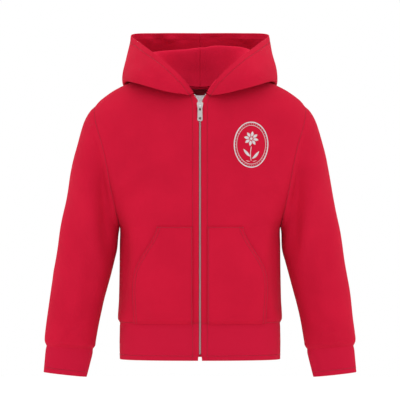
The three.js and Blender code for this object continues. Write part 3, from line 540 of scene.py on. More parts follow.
class Cloth:
    """A panel: its outer points, its normals and its thickness, all in millimetres.

    Its four edges are first_row, last_row, first_column and last_column. The free ones are
    turned hems, which are round. The others are seams, where the outer faces of two panels meet.
    """

    def __init__(self, points, facing, thickness, free=(), ring=False):
        self.ring = ring
        self.thickness = thickness
        self.free = free
        for axis in (0,) if ring else (0, 1):
            for at_end in (False, True):
                points = rounded_edge(points, axis, at_end, thickness / 2)
        self.points = points
        self.facing = facing
        self.settle()

    def settle(self):
        """Works the normals out again after the points have moved."""
        make = ring_normals if self.ring else grid_normals
        self.normals = make(self.points, self.facing)

    def move(self, distance):
        """Moves the points out along their normals."""
        self.points = self.points + self.normals * distance[..., None]
        if self.ring:
            self.points[:, -1] = self.points[:, 0]
        self.settle()

    def edge_distance(self, names=EDGES):
        """How far each point is from the nearest of the named edges."""
        along, across = arc_lengths(self.points, 0), arc_lengths(self.points, 1)
        ways = {
            "first_row": along,
            "last_row": along[-1:] - along,
            "first_column": across,
            "last_column": across[:, -1:] - across,
        }
        if self.ring:
            names = [name for name in names if name.endswith("row")]
        nearest = np.full(along.shape, 1e3)
        for name in names:
            nearest = np.minimum(nearest, ways[name])
        return nearest

    def seams(self):
        return [name for name in EDGES if name not in self.free]

    def sides(self):
        """Outer and inner faces, which meet in a half circle at free edges and a line at seams."""
        radius = self.thickness / 2
        from_free = np.clip(self.edge_distance(self.free) / radius, 0, 1)
        from_seam = np.clip(self.edge_distance(self.seams()) / radius, 0, 1)
        turn_in = radius * (1 - np.sqrt(1 - (1 - from_free) ** 2))
        through_wall = (self.thickness - 2 * turn_in) * np.sqrt(1 - (1 - from_seam) ** 2)
        return (
            self.points - self.normals * turn_in[..., None],
            self.points - self.normals * (turn_in + through_wall)[..., None],
        )

    def line(self, edge, distance):
        """The line on the panel at an even distance from one edge, and the normals along it."""
        axis = 0 if edge.endswith("row") else 1
        points, normals = (np.moveaxis(a, axis, 0) for a in (self.points, self.normals))
        if edge.startswith("last"):
            points, normals = points[::-1], normals[::-1]
        along = arc_lengths(points, 0)
        i = np.clip((along < distance).sum(0) - 1, 0, len(points) - 2)
        j = np.arange(points.shape[1])
        t = ((distance - along[i, j]) / (along[i + 1, j] - along[i, j]))[:, None]
        return points[i, j] * (1 - t) + points[i + 1, j] * t, normals[i, j]


SEAM_RISE = 0.9
SEAM_REACH = 5.0
GROOVE_DEPTH = 0.5
GROOVE_WIDTH = 1.5


def seam_rise(distance):
    """Two layers of allowance under a seam hold it down: the cloth rises to either side of it."""
    return SEAM_RISE * (1 - np.exp(-((distance / SEAM_REACH) ** 2)))


def stitch_groove(distance, at):
    """A row of stitches pulls the cloth down: a narrow bell-shaped groove along it."""
    return -GROOVE_DEPTH * np.exp(-(((distance - at) / GROOVE_WIDTH) ** 2))


def add_piece(name, mesh, replaced=None):
    """Adds a mesh to the garment, and hides the solid that it stands for."""
    piece = bpy.data.objects.new(name, mesh)
    bpy.context.collection.objects.link(piece)
    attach(piece, "garment")
    if replaced:
        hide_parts(replaced)
    return piece


def cloth_piece(name, cloth, face, inside, replaced):
    """One closed mesh with a face and an inside material, and a UV map in metres over the cloth."""
    outer, inner = cloth.sides()
    rows, columns = outer.shape[:2]
    points = np.concatenate([outer.reshape(-1, 3), inner.reshape(-1, 3)]) * MM
    index = np.arange(rows * columns).reshape(rows, columns)
    a, b, c, d = index[:-1, :-1], index[:-1, 1:], index[1:, 1:], index[1:, :-1]
    quads = np.stack([a, b, c, d], axis=-1).reshape(-1, 4)
    if cloth.facing < 0:
        quads = quads[:, ::-1]
    quads = np.concatenate([quads, quads[:, ::-1] + rows * columns])
    u, v = arc_lengths(cloth.points, 1) * MM, arc_lengths(cloth.points, 0) * MM
    uv = np.tile(np.stack([u, v], axis=-1).reshape(-1, 2), (2, 1))
    mesh = bpy.data.meshes.new(name)
    mesh.from_pydata(points.tolist(), [], quads.tolist())
    layer = mesh.uv_layers.new(name="cloth")
    layer.data.foreach_set("uv", uv[quads.reshape(-1)].reshape(-1))
    material_index = np.repeat([0, 1], len(quads) // 2).astype(np.int32)
    mesh.polygons.foreach_set("material_index", material_index)
    mesh.polygons.foreach_set("use_smooth", np.ones(len(quads), bool))
    mesh.materials.append(face)
    mesh.materials.append(inside)
    close_mesh(mesh)
    return add_piece(name, mesh, replaced)


def close_mesh(mesh):
    """Merges the points that meet round the edges and at a ring's closing line."""
    work = bmesh.new()
    work.from_mesh(mesh)
    bmesh.ops.remove_doubles(work, verts=work.verts, dist=4e-6)
    bmesh.ops.dissolve_degenerate(work, dist=1e-6, edges=work.edges)
    work.to_mesh(mesh)
    work.free()


# Threads, teeth and other small swept shapes


def sweep(paths, normals, profile, widths, heights, closed=False):
    """Cross-sections along many paths at once: side and height are scaled at each station.

    Paths and normals are count x stations x 3, and the profile is points of side and height.
    """
    ahead = np.gradient(paths, axis=1)
    if closed:
        ahead = (np.roll(paths, -1, axis=1) - np.roll(paths, 1, axis=1)) / 2
    ahead /= np.maximum(np.linalg.norm(ahead, axis=-1, keepdims=True), 1e-9)
    side = np.cross(ahead, normals)
    side /= np.maximum(np.linalg.norm(side, axis=-1, keepdims=True), 1e-9)
    up = np.cross(side, ahead)
    across = profile[None, None, :, 0] * np.broadcast_to(widths, paths.shape[:2])[..., None]
    high = profile[None, None, :, 1] * np.broadcast_to(heights, paths.shape[:2])[..., None]
    points = paths[:, :, None] + side[:, :, None] * across[..., None]
    points = points + up[:, :, None] * high[..., None]
    count, stations, around = points.shape[:3]
    index = np.arange(count * stations * around).reshape(count, stations, around)
    following = np.roll(index, -1, axis=1) if closed else index[:, 1:]
    here = index if closed else index[:, :-1]
    quads = np.stack(
        [here, np.roll(here, -1, axis=2), np.roll(following, -1, axis=2), following], axis=-1
    ).reshape(-1, 4)
    faces = quads.tolist()
    if not closed:
        faces += index[:, 0, ::-1].tolist() + index[:, -1].tolist()
    along = np.linalg.norm(np.diff(paths, axis=1), axis=-1).cumsum(axis=1)
    along = np.concatenate([np.zeros((count, 1)), along], axis=1)
    uv = np.stack(np.broadcast_arrays(across, along[..., None]), axis=-1).reshape(-1, 2) * MM
    return points.reshape(-1, 3) * MM, faces, uv


def joined(parts):
    """Several swept shapes as one set of points, faces and cloth coordinates."""
    points, faces, uvs, start = [], [], [], 0
    for part_points, part_faces, part_uv in parts:
        points.append(part_points)
        uvs.append(part_uv)
        faces += [[i + start for i in face] for face in part_faces]
        start += len(part_points)
    return np.concatenate(points), faces, np.concatenate(uvs)


def swept_piece(name, parts, material, replaced=None):
    """One mesh of many swept shapes, with its faces turned outwards."""
    points, faces, uv = joined(parts)
    mesh = bpy.data.meshes.new(name)
    mesh.from_pydata(points.tolist(), [], faces)
    loops = np.empty(len(mesh.loops), np.int32)
    mesh.loops.foreach_get("vertex_index", loops)
    mesh.uv_layers.new(name="cloth").data.foreach_set("uv", uv[loops].reshape(-1))
    mesh.polygons.foreach_set("use_smooth", np.ones(len(mesh.polygons), bool))
    mesh.materials.append(material)
    work = bmesh.new()
    work.from_mesh(mesh)
    bmesh.ops.recalc_face_normals(work, faces=work.faces)
    work.to_mesh(mesh)
    work.free()
    return add_piece(name, mesh, replaced)


def around_profile(count):
    """Evenly spaced points on a unit circle."""
    turn = np.linspace(0, 2 * math.pi, count, endpoint=False)
    return np.stack([np.cos(turn), np.sin(turn)], axis=-1)


STITCH_LENGTH = 3.2
STITCH_SHARE = 0.86
THREAD_RADIUS = 0.32
STITCH_SHAPE = np.array([0.0, 0.12, 0.5, 0.88, 1.0])
STITCH_LIFT = np.array([-0.5, 0.35, 0.7, 0.35, -0.5])
STITCH_SWELL = np.array([0.5, 1.0, 1.05, 1.0, 0.5])


def stitches(points, normals):
    """A row of single stitches along a line: each rises out of the cloth and dives back in."""
    step = np.linalg.norm(np.diff(points, axis=0), axis=-1)
    along = np.concatenate([[0], np.cumsum(step)])
    count = int(along[-1] / STITCH_LENGTH)
    starts = np.arange(count) * (along[-1] / count)
    at = starts[:, None] + STITCH_SHAPE[None] * STITCH_LENGTH * STITCH_SHARE
    path = np.stack([np.interp(at, along, points[:, i]) for i in range(3)], axis=-1)
    normal = np.stack([np.interp(at, along, normals[:, i]) for i in range(3)], axis=-1)
    normal /= np.linalg.norm(normal, axis=-1, keepdims=True)
    path = path + normal * (STITCH_LIFT * THREAD_RADIUS)[None, :, None]
    swell = STITCH_SWELL * THREAD_RADIUS
    return sweep(path, normal, around_profile(6), swell, swell)


# Camera, at the photograph's level view through a long lens

PHOTO_SIDE = 400
MM_PER_PIXEL = 1.85
EYE_Z = -237
CAMERA_DISTANCE = 6500
SENSOR_WIDTH = 36


def make_camera():
    """A lens that sees the photograph's width in millimetres at the garment's distance."""
    view = bpy.data.cameras.new("camera")
    view.sensor_width = SENSOR_WIDTH
    view.lens = SENSOR_WIDTH * CAMERA_DISTANCE / (PHOTO_SIDE * MM_PER_PIXEL)
    view.clip_end = 50
    camera = bpy.data.objects.new("camera", view)
    camera.location = (0, -CAMERA_DISTANCE * MM, EYE_Z * MM)
    camera.rotation_euler = (math.pi / 2, 0, 0)
    bpy.context.collection.objects.link(camera)
    bpy.context.scene.camera = camera


make_camera()
bpy.context.scene.view_settings.view_transform = "Standard"


# Materials


def linear(code):
    """An sRGB hex colour as linear light, with full opacity."""
    value = np.array([int(code[i : i + 2], 16) for i in (1, 3, 5)]) / 255
    value = np.where(value <= 0.04045, value / 12.92, ((value + 0.055) / 1.055) ** 2.4)
    return (*value.tolist(), 1)


def node(tree, kind, settings=None, links=None):
    """Adds one node, sets its properties and input values by name or number, and links its inputs.

    A link's source is a socket, or a node for its first output.
    """
    made = tree.nodes.new("ShaderNode" + kind)
    for name, value in (settings or {}).items():
        if isinstance(name, str) and name not in made.inputs:
            setattr(made, name, value)
    for name, value in (settings or {}).items():
        if not isinstance(name, str) or name in made.inputs:
            made.inputs[name].default_value = value
    for name, source in (links or {}).items():
        tree.links.new(getattr(source, "outputs", [source])[0], made.inputs[name])
    return made


def new_material(name, colour, roughness, **settings):
    """A principled material, with the shader's own sockets set by name."""
    material = bpy.data.materials.new(name)
    material.use_nodes = True
    tree = material.node_tree
    shader = tree.nodes["Principled BSDF"]
    shader.inputs["Base Color"].default_value = linear(colour)
    shader.inputs["Roughness"].default_value = roughness
    for key, value in settings.items():
        shader.inputs[key.replace("_", " ")].default_value = value
    material.diffuse_color = linear(colour)
    return material, tree, shader


def dress(tree, shader, shades, value, low, high, height, depth):
    """Colours a cloth from its dark to its light shade as value goes from low to high.

    Height times depth, in metres, is its relief.
    """
    dark, light = map(linear, shades)
    share = node(tree, "MapRange", {"From Min": low, "From Max": high}, {"Value": value})
    mix = node(tree, "Mix", {"data_type": "RGBA", 6: dark, 7: light}, {0: share})
    bump = node(tree, "Bump", {"Distance": depth, "Strength": 1.0}, {"Height": height})
    tree.links.new(mix.outputs[2], shader.inputs["Base Color"])
    tree.links.new(bump.outputs[0], shader.inputs["Normal"])


def cloth_coordinates(tree):
    """Metres across and along the cloth."""
    place = node(tree, "UVMap", {"uv_map": "cloth"})
    return node(tree, "SeparateXYZ", links={0: place}).outputs[0:2]


def uneven_dye(tree, scale):
    """Dye takes a little unevenly: slow noise of the given scale, mixed with fine noise."""
    place = node(tree, "TexCoord").outputs["Object"]
    slow = node(tree, "TexNoise", {"Scale": scale, "Detail": 3.0}, {"Vector": place})
    fine = node(tree, "TexNoise", {"Scale": 900.0, "Detail": 2.0}, {"Vector": place})
    fine = node(tree, "Math", {"operation": "MULTIPLY", 1: 0.4}, {0: fine})
    return place, node(tree, "Math", {"operation": "MULTIPLY_ADD", 1: 0.6}, {0: slow, 2: fine})


def wave(tree, place, pitch, shape="SINE"):
    """A wave from -1 to 1 that comes back after each pitch."""
    turn = node(tree, "Math", {"operation": "MULTIPLY", 1: 2 * math.pi / pitch}, {0: place})
    return node(tree, "Math", {"operation": shape}, {0: turn})


def knit_height(tree, wale, course):
    """Jersey face: columns of V stitches, each V slanting up from the middle of its wale."""
    across, along = cloth_coordinates(tree)
    wales = node(tree, "Math", {"operation": "DIVIDE", 1: wale}, {0: across})
    slant = node(tree, "Math", {"operation": "PINGPONG", 1: 0.5}, {0: wales})
    courses = node(tree, "Math", {"operation": "DIVIDE", 1: course}, {0: along})
    rise = node(tree, "Math", {"operation": "MULTIPLY_ADD", 1: 1.6}, {0: slant, 2: courses})
    loops, columns = wave(tree, rise, 1), wave(tree, slant, 1)
    return node(tree, "Math", {"operation": "MULTIPLY_ADD", 1: 0.35}, {0: loops, 2: columns})


# Dyed cotton's fibre ends catch the light in the cloth's own colour, with hardly any gloss
COTTON = {"Sheen_Tint": linear("#ff5065"), "Specular_IOR_Level": 0.08}


def fleece_face():
    """Cotton sweatshirt fleece, piece dyed: a matt jersey face with a short soft nap.

    Its wales are 1.1 mm apart and its courses 0.9 mm, and the nap is about 0.7 mm.
    """
    material, tree, shader = new_material(
        "fleece_face", "#b8132e", 0.9, Sheen_Weight=0.12, Sheen_Roughness=0.4, **COTTON
    )
    place, dye = uneven_dye(tree, 14.0)
    pile = node(tree, "TexNoise", {"Scale": 1500.0, "Detail": 3.0}, {"Vector": place})
    knit = knit_height(tree, 0.0011, 0.0009)
    height = node(tree, "Math", {"operation": "MULTIPLY_ADD", 1: 0.4}, {0: knit, 2: pile})
    dress(tree, shader, ("#be1231", "#c81535"), dye, 0.36, 0.64, height, 0.0002)
    return material


def fleece_inside():
    """The back of the same fleece, brushed: a denser pile of 1.4 mm tufts with no visible loops."""
    material, tree, shader = new_material(
        "fleece_inside", "#a3112a", 0.95, Sheen_Weight=0.15, Sheen_Roughness=0.5, **COTTON
    )
    place, dye = uneven_dye(tree, 30.0)
    pile = node(tree, "TexNoise", {"Scale": 700.0, "Detail": 5.0}, {"Vector": place})
    # The inside's two shades are lighter than the face's: painted light, which brightens the shaded
    # insides of the hood and the neck.
    dress(tree, shader, ("#cb1738", "#d81a3e"), dye, 0.36, 0.64, pile, 0.0005)
    return material


def rib_knit():
    """Cotton and elastane 1x1 rib: raised wales 1.8 mm apart with shaded valleys between."""
    material, tree, shader = new_material(
        "rib_knit", "#b6132e", 0.88, Sheen_Weight=0.1, Sheen_Roughness=0.4, **COTTON
    )
    wales = wave(tree, cloth_coordinates(tree)[0], 0.0018, "COSINE")
    knit = knit_height(tree, 0.0012, 0.001)
    height = node(tree, "Math", {"operation": "MULTIPLY_ADD", 1: 0.2}, {0: knit, 2: wales})
    # The valleys between the wales are painted darker, by the same wave as their relief: painted
    # shade.
    dress(tree, shader, ("#bf1434", "#cb1639"), wales, -1.0, 0.4, height, 0.00022)
    return material


def thread(name, dark, light, pitch):
    """Twisted polyester or rayon thread: smooth, softly shining plies that wind along it."""
    material, tree, shader = new_material(
        name, light, 0.5, Sheen_Weight=0.1, Specular_IOR_Level=0.3
    )
    across, along = cloth_coordinates(tree)
    twist = node(tree, "Math", {"operation": "MULTIPLY_ADD", 1: 0.5}, {0: across, 2: along})
    plies = wave(tree, twist, pitch)
    # The grooves between the plies are painted darker than their crowns, by the same wave as their
    # relief: painted shade.
    dress(tree, shader, (dark, light), plies, -1.0, 1.0, plies, 0.00012)
    return material


def woven_tape():
    """Polyester twill tape, dyed with the cloth: tight slanted ribs about a millimetre apart."""
    material, tree, shader = new_material("woven_tape", "#96102a", 0.7, Specular_IOR_Level=0.3)
    across, along = cloth_coordinates(tree)
    slant = node(tree, "Math", {"operation": "MULTIPLY_ADD", 1: 0.8}, {0: along, 2: across})
    ribs = wave(tree, slant, 0.0011)
    # The valleys between the ribs are painted darker than their crowns, by the same wave as their
    # relief: painted shade.
    dress(tree, shader, ("#850d24", "#a3122e"), ribs, -1.0, 1.0, ribs, 0.0002)
    return material


def label_satin():
    """White polyester satin, woven: a smooth face of long floats with a faint ribbed sheen.

    It glows faintly: painted light, which brightens the label in the shade deep inside the neck.
    """
    material, tree, shader = new_material(
        "label_satin", "#eef0f1", 0.45, Sheen_Weight=0.2, Specular_IOR_Level=0.45,
        Emission_Color=linear("#f4f8ff"), Emission_Strength=0.3,
    )
    floats = wave(tree, cloth_coordinates(tree)[1], 0.0005)
    # The floats' crowns are painted lighter, by the same wave as their relief: a painted sheen.
    dress(tree, shader, ("#f1f3f4", "#fcfdfd"), floats, -1.0, 1.0, floats, 0.00008)
    return material


def bright_metal(name, colour):
    """Tumbled aluminium or plated zinc: a pale silver whose fine scratches spread highlights."""
    material, tree, shader = new_material(name, colour, 0.4, Metallic=1.0)
    place = node(tree, "TexCoord").outputs["Object"]
    blur = node(tree, "TexNoise", {"Scale": 400.0, "Detail": 4.0}, {"Vector": place})
    rough = node(tree, "MapRange", {"To Min": 0.32, "To Max": 0.5}, {"Value": blur})
    bump = node(tree, "Bump", {"Distance": 0.00004, "Strength": 1.0}, {"Height": blur})
    tree.links.new(rough.outputs[0], shader.inputs["Roughness"])
    tree.links.new(bump.outputs[0], shader.inputs["Normal"])
    return material


FACE = fleece_face()
INSIDE = fleece_inside()
RIB_FACE = rib_knit()
TAPE = woven_tape()
RED_THREAD = thread("red_thread", "#960d29", "#a8102f", 0.0006)
WHITE_THREAD = thread("white_thread", "#dcd6da", "#f2eff1", 0.0004)
LABEL = label_satin()
TEETH_METAL = bright_metal("aluminium_teeth", "#f4f2f1")
SLIDER_METAL = bright_metal("nickel_plated_zinc", "#b4b1b0")


# Cloth panels

# How far rows of stitches lie from the panels' edges
ZIP_STITCH = 11.2
HOOD_HEM_STITCH = 10.5
HOOD_SEAM_STITCH = 2.6
SEAM_STITCH = 2.4
POCKET_HEM_STITCHES = (2.2, 8.0)
POCKET_TOP_STITCH = 2.2
POCKET_ZIP_STITCH = 2.0
CUFF_HEM_STITCH = 9.5
BAND_HEM_STITCH = 9.0

# The rows and columns of points that the panels have, closer across a row of stitches
BODY_ROWS = np.linspace(0, LOWER_LAST + ARMHOLE_ROWS, 166)
BODY_COLUMNS = np.linspace(0, PANEL_COLUMNS, 56)
ZIP_STITCH_COLUMNS = np.linspace(0.78, 1.22, 12)
SLEEVE_RINGS = np.linspace(0, 16, 150)
CUFF_RINGS = np.linspace(0, 3, 30)
AROUND = np.linspace(0, 2 * math.pi, 121)
BAND_HEIGHTS = np.linspace(HEM_SEAM_Z, BAND_BOTTOM_Z, 28)
BAND_COLUMNS = np.linspace(0, PANEL_COLUMNS, 60)
HOOD_STEPS = np.unique(np.concatenate([np.linspace(0, 6, 100), np.linspace(5.3, 5.98, 40)]))
HOOD_COLUMNS = np.linspace(0, 12, 110)

SEAM_HOLD = 14.0
WAVE_SIZE = 70
WAVE_HEIGHT = 0.9
FRONT_SEED = 3
BACK_SEED = 5
SLEEVE_SEED = 8
HOOD_SEED = 12


def fold(cloth, folds, seed):
    """Folds and slow waves, which fade out at the seams so that neighbours still meet."""
    moved = soft_folds(cloth.points, cloth.normals, folds)
    moved += undulation(cloth.points, WAVE_SIZE, WAVE_HEIGHT, seed)
    cloth.move(moved * smooth_step(0, SEAM_HOLD, cloth.edge_distance()))


def front_points(side):
    """The front on a grid that is closer across the row of stitches beside the zip."""
    columns = np.unique(np.concatenate([BODY_COLUMNS, ZIP_STITCH_COLUMNS]))
    return half_body(BODY_ROWS, columns, "front", side)


def back_points():
    """The back's two halves on one grid, from the left side to the right."""
    left = half_body(BODY_ROWS, BODY_COLUMNS, "back", -1)[:, ::-1]
    right = half_body(BODY_ROWS, BODY_COLUMNS, "back", 1)[:, 1:]
    return np.concatenate([left, right], axis=1)


def make_body():
    panels = {}
    for name, side in (("front_left", -1), ("front_right", 1)):
        panels[name] = Cloth(front_points(side), side, FLEECE, ["first_column"])
        fold(panels[name], BODY_FOLDS, FRONT_SEED)
    panels["back"] = Cloth(back_points(), -1, FLEECE)
    fold(panels["back"], BODY_FOLDS, BACK_SEED)
    for name, panel in panels.items():
        rise = seam_rise(panel.edge_distance(panel.seams()))
        if name != "back":
            rise += stitch_groove(panel.edge_distance(["first_column"]), ZIP_STITCH)
        panel.move(rise)
        piece = cloth_piece(name + "_fleece", panel, FACE, INSIDE, name)
    return panels


def make_sleeves():
    panels = {}
    for name, side in (("left", -1), ("right", 1)):
        surface = sleeve_surface(SLEEVE_RINGS, AROUND, side)
        sleeve = Cloth(surface, side, FLEECE, ring=True)
        fold(sleeve, SLEEVE_FOLDS, SLEEVE_SEED + side)
        sleeve.move(seam_rise(sleeve.edge_distance(sleeve.seams())))
        node_name = f"sleeve_{name}"
        piece = cloth_piece(node_name + "_fleece", sleeve, FACE, INSIDE, node_name)
        panels[node_name] = sleeve
        surface = oval_rings(CUFF_SECTIONS, CUFF_RINGS, AROUND, side)
        cuff = Cloth(surface, side, RIB, ["last_row"], ring=True)
        cuff.move(seam_rise(cuff.edge_distance(cuff.seams())))
        node_name = f"cuff_{name}"
        piece = cloth_piece(node_name + "_rib", cuff, RIB_FACE, RIB_FACE, node_name)
        panels[node_name] = cuff
    return panels


def make_band():
    band = Cloth(band_surface(BAND_HEIGHTS, BAND_COLUMNS), 1, RIB, EDGES[1:])
    band.move(seam_rise(band.edge_distance(band.seams())))
    piece = cloth_piece("hem_band_rib", band, RIB_FACE, RIB_FACE, "hem_band")
    return {"band": band}


def make_hood():
    panels = {}
    for name, side in (("left", -1), ("right", 1)):
        surface = hood_surface(HOOD_STEPS, HOOD_COLUMNS, side)
        hood = Cloth(surface, side, FLEECE, ["last_row", "first_column"])
        fold(hood, HOOD_FOLDS, HOOD_SEED + side)
        rise = seam_rise(hood.edge_distance(hood.seams()))
        hood.move(rise + stitch_groove(hood.edge_distance(["last_row"]), HOOD_HEM_STITCH))
        node_name = f"hood_{name}"
        piece = cloth_piece(node_name + "_fleece", hood, FACE, INSIDE, node_name)
        panels[node_name] = hood
    return panels


panels = {**make_body(), **make_sleeves(), **make_band(), **make_hood()}


# Pockets, zip, neck tape and label

POCKET_THICKNESS = 1.6
POCKET_FULLNESS = 2.4
POCKET_GAP = 0.3
TAPE_DEPTH = 2.6
TAPE_THICKNESS = 0.7
TAPE_OUTER_X = 15
TAPE_INNER_X = 0.3
CHAIN_BOTTOM_Z = -518
NECK_TAPE_BELOW_SEAM = 1.5
NECK_TAPE_HEIGHT = 11
NECK_TAPE_THICKNESS = 1
NECK_TAPE_COLUMNS = 4
INSIDE_DEPTH = 3
SLIDER_Z = -65
LABEL_HALF_WIDTH = 19
LABEL_HEIGHT = 26
LABEL_THICKNESS = 0.6
LABEL_GAP = 0.3


def pocket_surface(side):
    """The front's own points over the pocket, folds and all, moved out and left a little full."""
    rows, columns = np.linspace(0, LOWER_LAST, 100), np.linspace(1, POCKET_COLUMN, 50)
    points = half_body(rows, columns, "front", side)
    normals = grid_normals(points, side)
    edge = np.minimum(points[..., 2] - HEM_SEAM_Z, np.abs(points[..., 0]) - FRONT_EDGE_X)
    moved = soft_folds(points, normals, BODY_FOLDS)
    moved += undulation(points, WAVE_SIZE, WAVE_HEIGHT, FRONT_SEED)
    points = points + normals * (moved * smooth_step(0, SEAM_HOLD, edge))[..., None]
    normals = grid_normals(points, side)
    across = (columns[None] - 1) / (POCKET_COLUMN - 1)
    full = np.sin(math.pi * rows / LOWER_LAST)[:, None] * np.sin(math.pi * across**2 * 0.62)
    rise = seam_rise(points[..., 2] - HEM_SEAM_Z)
    out = POCKET_GAP + POCKET_THICKNESS + POCKET_FULLNESS * full + rise
    return points + normals * out[..., None]


def make_pockets():
    made = {}
    for name, side in (("left", -1), ("right", 1)):
        pocket = Cloth(pocket_surface(side), side, POCKET_THICKNESS, EDGES[1:])
        node_name = f"pocket_{name}"
        piece = cloth_piece(node_name + "_fleece", pocket, FACE, INSIDE, node_name)
        made[node_name] = pocket
    return made


def sunk(points, facing, depth):
    """A surface moved inwards along its normals."""
    return points - grid_normals(points, facing) * depth


def tape_surface(side):
    """A strip of the front's surface, which follows the middle edge out above the slider."""
    widths = np.linspace(TAPE_INNER_X, TAPE_OUTER_X, 12)
    z = np.linspace(CHAIN_BOTTOM_Z - 3, FRONT_NECK_Z - 2, 160)
    flare = edge_x(z, "front") - FRONT_EDGE_X
    x = side * (widths[None] + flare[:, None])
    z = np.repeat(z[:, None], len(widths), axis=1)
    return np.stack([x, -body_depth(x, z, "front"), z], axis=-1)


def make_tapes():
    for name, side in (("left", -1), ("right", 1)):
        face = tape_surface(side)
        tape = Cloth(sunk(face, side, TAPE_DEPTH), side, TAPE_THICKNESS, EDGES)
        node_name = f"zip_tape_{name}"
        piece = cloth_piece(node_name + "_woven", tape, TAPE, TAPE, node_name)


def neck_tape_surface():
    """Quarter ovals on the back's surface, evenly below that of the neck seam."""
    reach = NECK_TAPE_COLUMNS / NECK_COLUMNS * math.pi / 2
    turn = np.linspace(-reach, reach, 60)
    turn, below = np.meshgrid(turn, np.linspace(NECK_TAPE_HEIGHT, 0, 10))
    x = NECK_HALF_WIDTH * np.sin(turn)
    z = BACK_NECK_Z * np.cos(turn) - NECK_TAPE_BELOW_SEAM - below
    return np.stack([x, body_depth(x, z, "back"), z], axis=-1)


def label_surface():
    """A rectangle on the back's surface, whose top edge follows the lower edge of the neck tape."""
    across = np.linspace(-LABEL_HALF_WIDTH, LABEL_HALF_WIDTH, 24)
    x, down = np.meshgrid(across, np.linspace(1, 0, 18))
    lift = -BACK_NECK_Z * (1 - np.sqrt(1 - (x / NECK_HALF_WIDTH) ** 2))
    top = BACK_NECK_Z - NECK_TAPE_BELOW_SEAM - NECK_TAPE_HEIGHT - LABEL_GAP
    z = top + lift * (1 - down) - LABEL_HEIGHT * down
    return np.stack([x, body_depth(x, z, "back"), z], axis=-1)


def make_neck():
    tape = Cloth(sunk(neck_tape_surface(), -1, INSIDE_DEPTH), -1, NECK_TAPE_THICKNESS, EDGES)
    piece = cloth_piece("neck_tape_woven", tape, TAPE, TAPE, "neck_tape")
    label = Cloth(sunk(label_surface(), -1, INSIDE_DEPTH), -1, LABEL_THICKNESS, EDGES)
    piece = cloth_piece("neck_label_woven", label, LABEL, LABEL, "neck_label")


def make_stitches():
    """Rows of stitches at even distances from the panels' edges, as panel, edge and distance."""
    rows = [
        ("back", "first_row", SEAM_STITCH), ("band", "last_row", BAND_HEM_STITCH),
        ("band", "first_column", ZIP_STITCH), ("band", "last_column", ZIP_STITCH),
    ]
    for side in ("_left", "_right"):
        rows += [
            ("front" + side, "first_column", ZIP_STITCH),
            ("front" + side, "first_row", SEAM_STITCH),
            ("pocket" + side, "last_row", POCKET_TOP_STITCH),
            ("pocket" + side, "first_column", POCKET_ZIP_STITCH),
            ("pocket" + side, "last_column", POCKET_HEM_STITCHES[0]),
            ("pocket" + side, "last_column", POCKET_HEM_STITCHES[1]),
            ("hood" + side, "last_row", HOOD_HEM_STITCH),
            ("hood" + side, "last_column", HOOD_SEAM_STITCH),
            ("sleeve" + side, "first_row", SEAM_STITCH),
            ("cuff" + side, "last_row", CUFF_HEM_STITCH),
        ]
    parts = [stitches(*panels[name].line(edge, distance)) for name, edge, distance in rows]
    swept_piece("seam_stitches", parts, RED_THREAD)


TOOTH_PITCH = 3.2
OPEN_PITCH_SHARE = 0.8
SLIDER_HALF_LENGTH = 6
TOOTH_STATIONS = np.array([1.7, 1.1, 0.5, -0.1, -0.45])
TOOTH_HALF_HEIGHT = np.array([0.5, 0.6, 0.45, 0.62, 0.4])
TOOTH_HALF_DEPTH = np.array([0.9, 0.95, 0.85, 0.85, 0.6])
TOOTH_SETBACK = 0.9
OPEN_TOOTH_X = 0.6
OPEN_TOOTH_TILT = 0.8


def teeth(z, side):
    """Metal teeth, each with a waist and a rounded head past the middle, or past the open edge."""
    flare = edge_x(z, "front") - FRONT_EDGE_X
    slope = np.gradient(flare, z)
    reach = TOOTH_STATIONS[None]
    x = side * (flare[:, None] + reach + OPEN_TOOTH_X * (flare[:, None] > 0))
    z = z[:, None] - reach * slope[:, None] * OPEN_TOOTH_TILT
    y = TOOTH_SETBACK - body_depth(x, z, "front")
    paths = np.stack([x, y, z], axis=-1)
    normals = np.broadcast_to(np.array([0.0, -1.0, 0.0]), paths.shape)
    return sweep(paths, normals, around_profile(8), TOOTH_HALF_HEIGHT, TOOTH_HALF_DEPTH)


def make_chain():
    """Teeth that alternate below the slider, and two open rows above it."""
    closed = np.arange(CHAIN_BOTTOM_Z, SLIDER_Z - SLIDER_HALF_LENGTH, TOOTH_PITCH)
    opened = np.arange(
        SLIDER_Z + SLIDER_HALF_LENGTH, FRONT_NECK_Z - 1, TOOTH_PITCH * OPEN_PITCH_SHARE
    )
    parts = [teeth(closed, -1), teeth(closed + TOOTH_PITCH / 2, 1)]
    parts += [teeth(opened, -1), teeth(opened, 1)]
    swept_piece("zip_teeth", parts, TEETH_METAL, "zip_chain")


# The embroidered flower on the chest, in satin stitch: a daisy in a dashed oval border

FLOWER_X = 93.5
FLOWER_Z = -136
RING_HALF_WIDTH = 31
RING_HALF_HEIGHT = 41
HEAD_Z = 11
SATIN_HEIGHT = 0.55
SATIN_LIFT = 0.15
SATIN_PROFILE = np.array(
    [(-1, -0.4), (1, -0.4), (0.92, 0.45), (0.5, 0.9), (0, 1), (-0.5, 0.9), (-0.92, 0.45)]
)


def on_front(x, z):
    """Points on the right front's finished face, folds and all, and the normals there."""

    def face(dx, dz):
        return np.stack([x + dx, -body_depth(x + dx, z + dz, "front"), z + dz], axis=-1)

    normal = np.cross(face(0.5, 0) - face(-0.5, 0), face(0, 0.5) - face(0, -0.5))
    normal /= np.linalg.norm(normal, axis=-1, keepdims=True)
    points = face(0, 0)
    moved = soft_folds(points, normal, BODY_FOLDS)
    moved += undulation(points, WAVE_SIZE, WAVE_HEIGHT, FRONT_SEED)
    return points + normal * (moved + SEAM_RISE + SATIN_LIFT)[..., None], normal


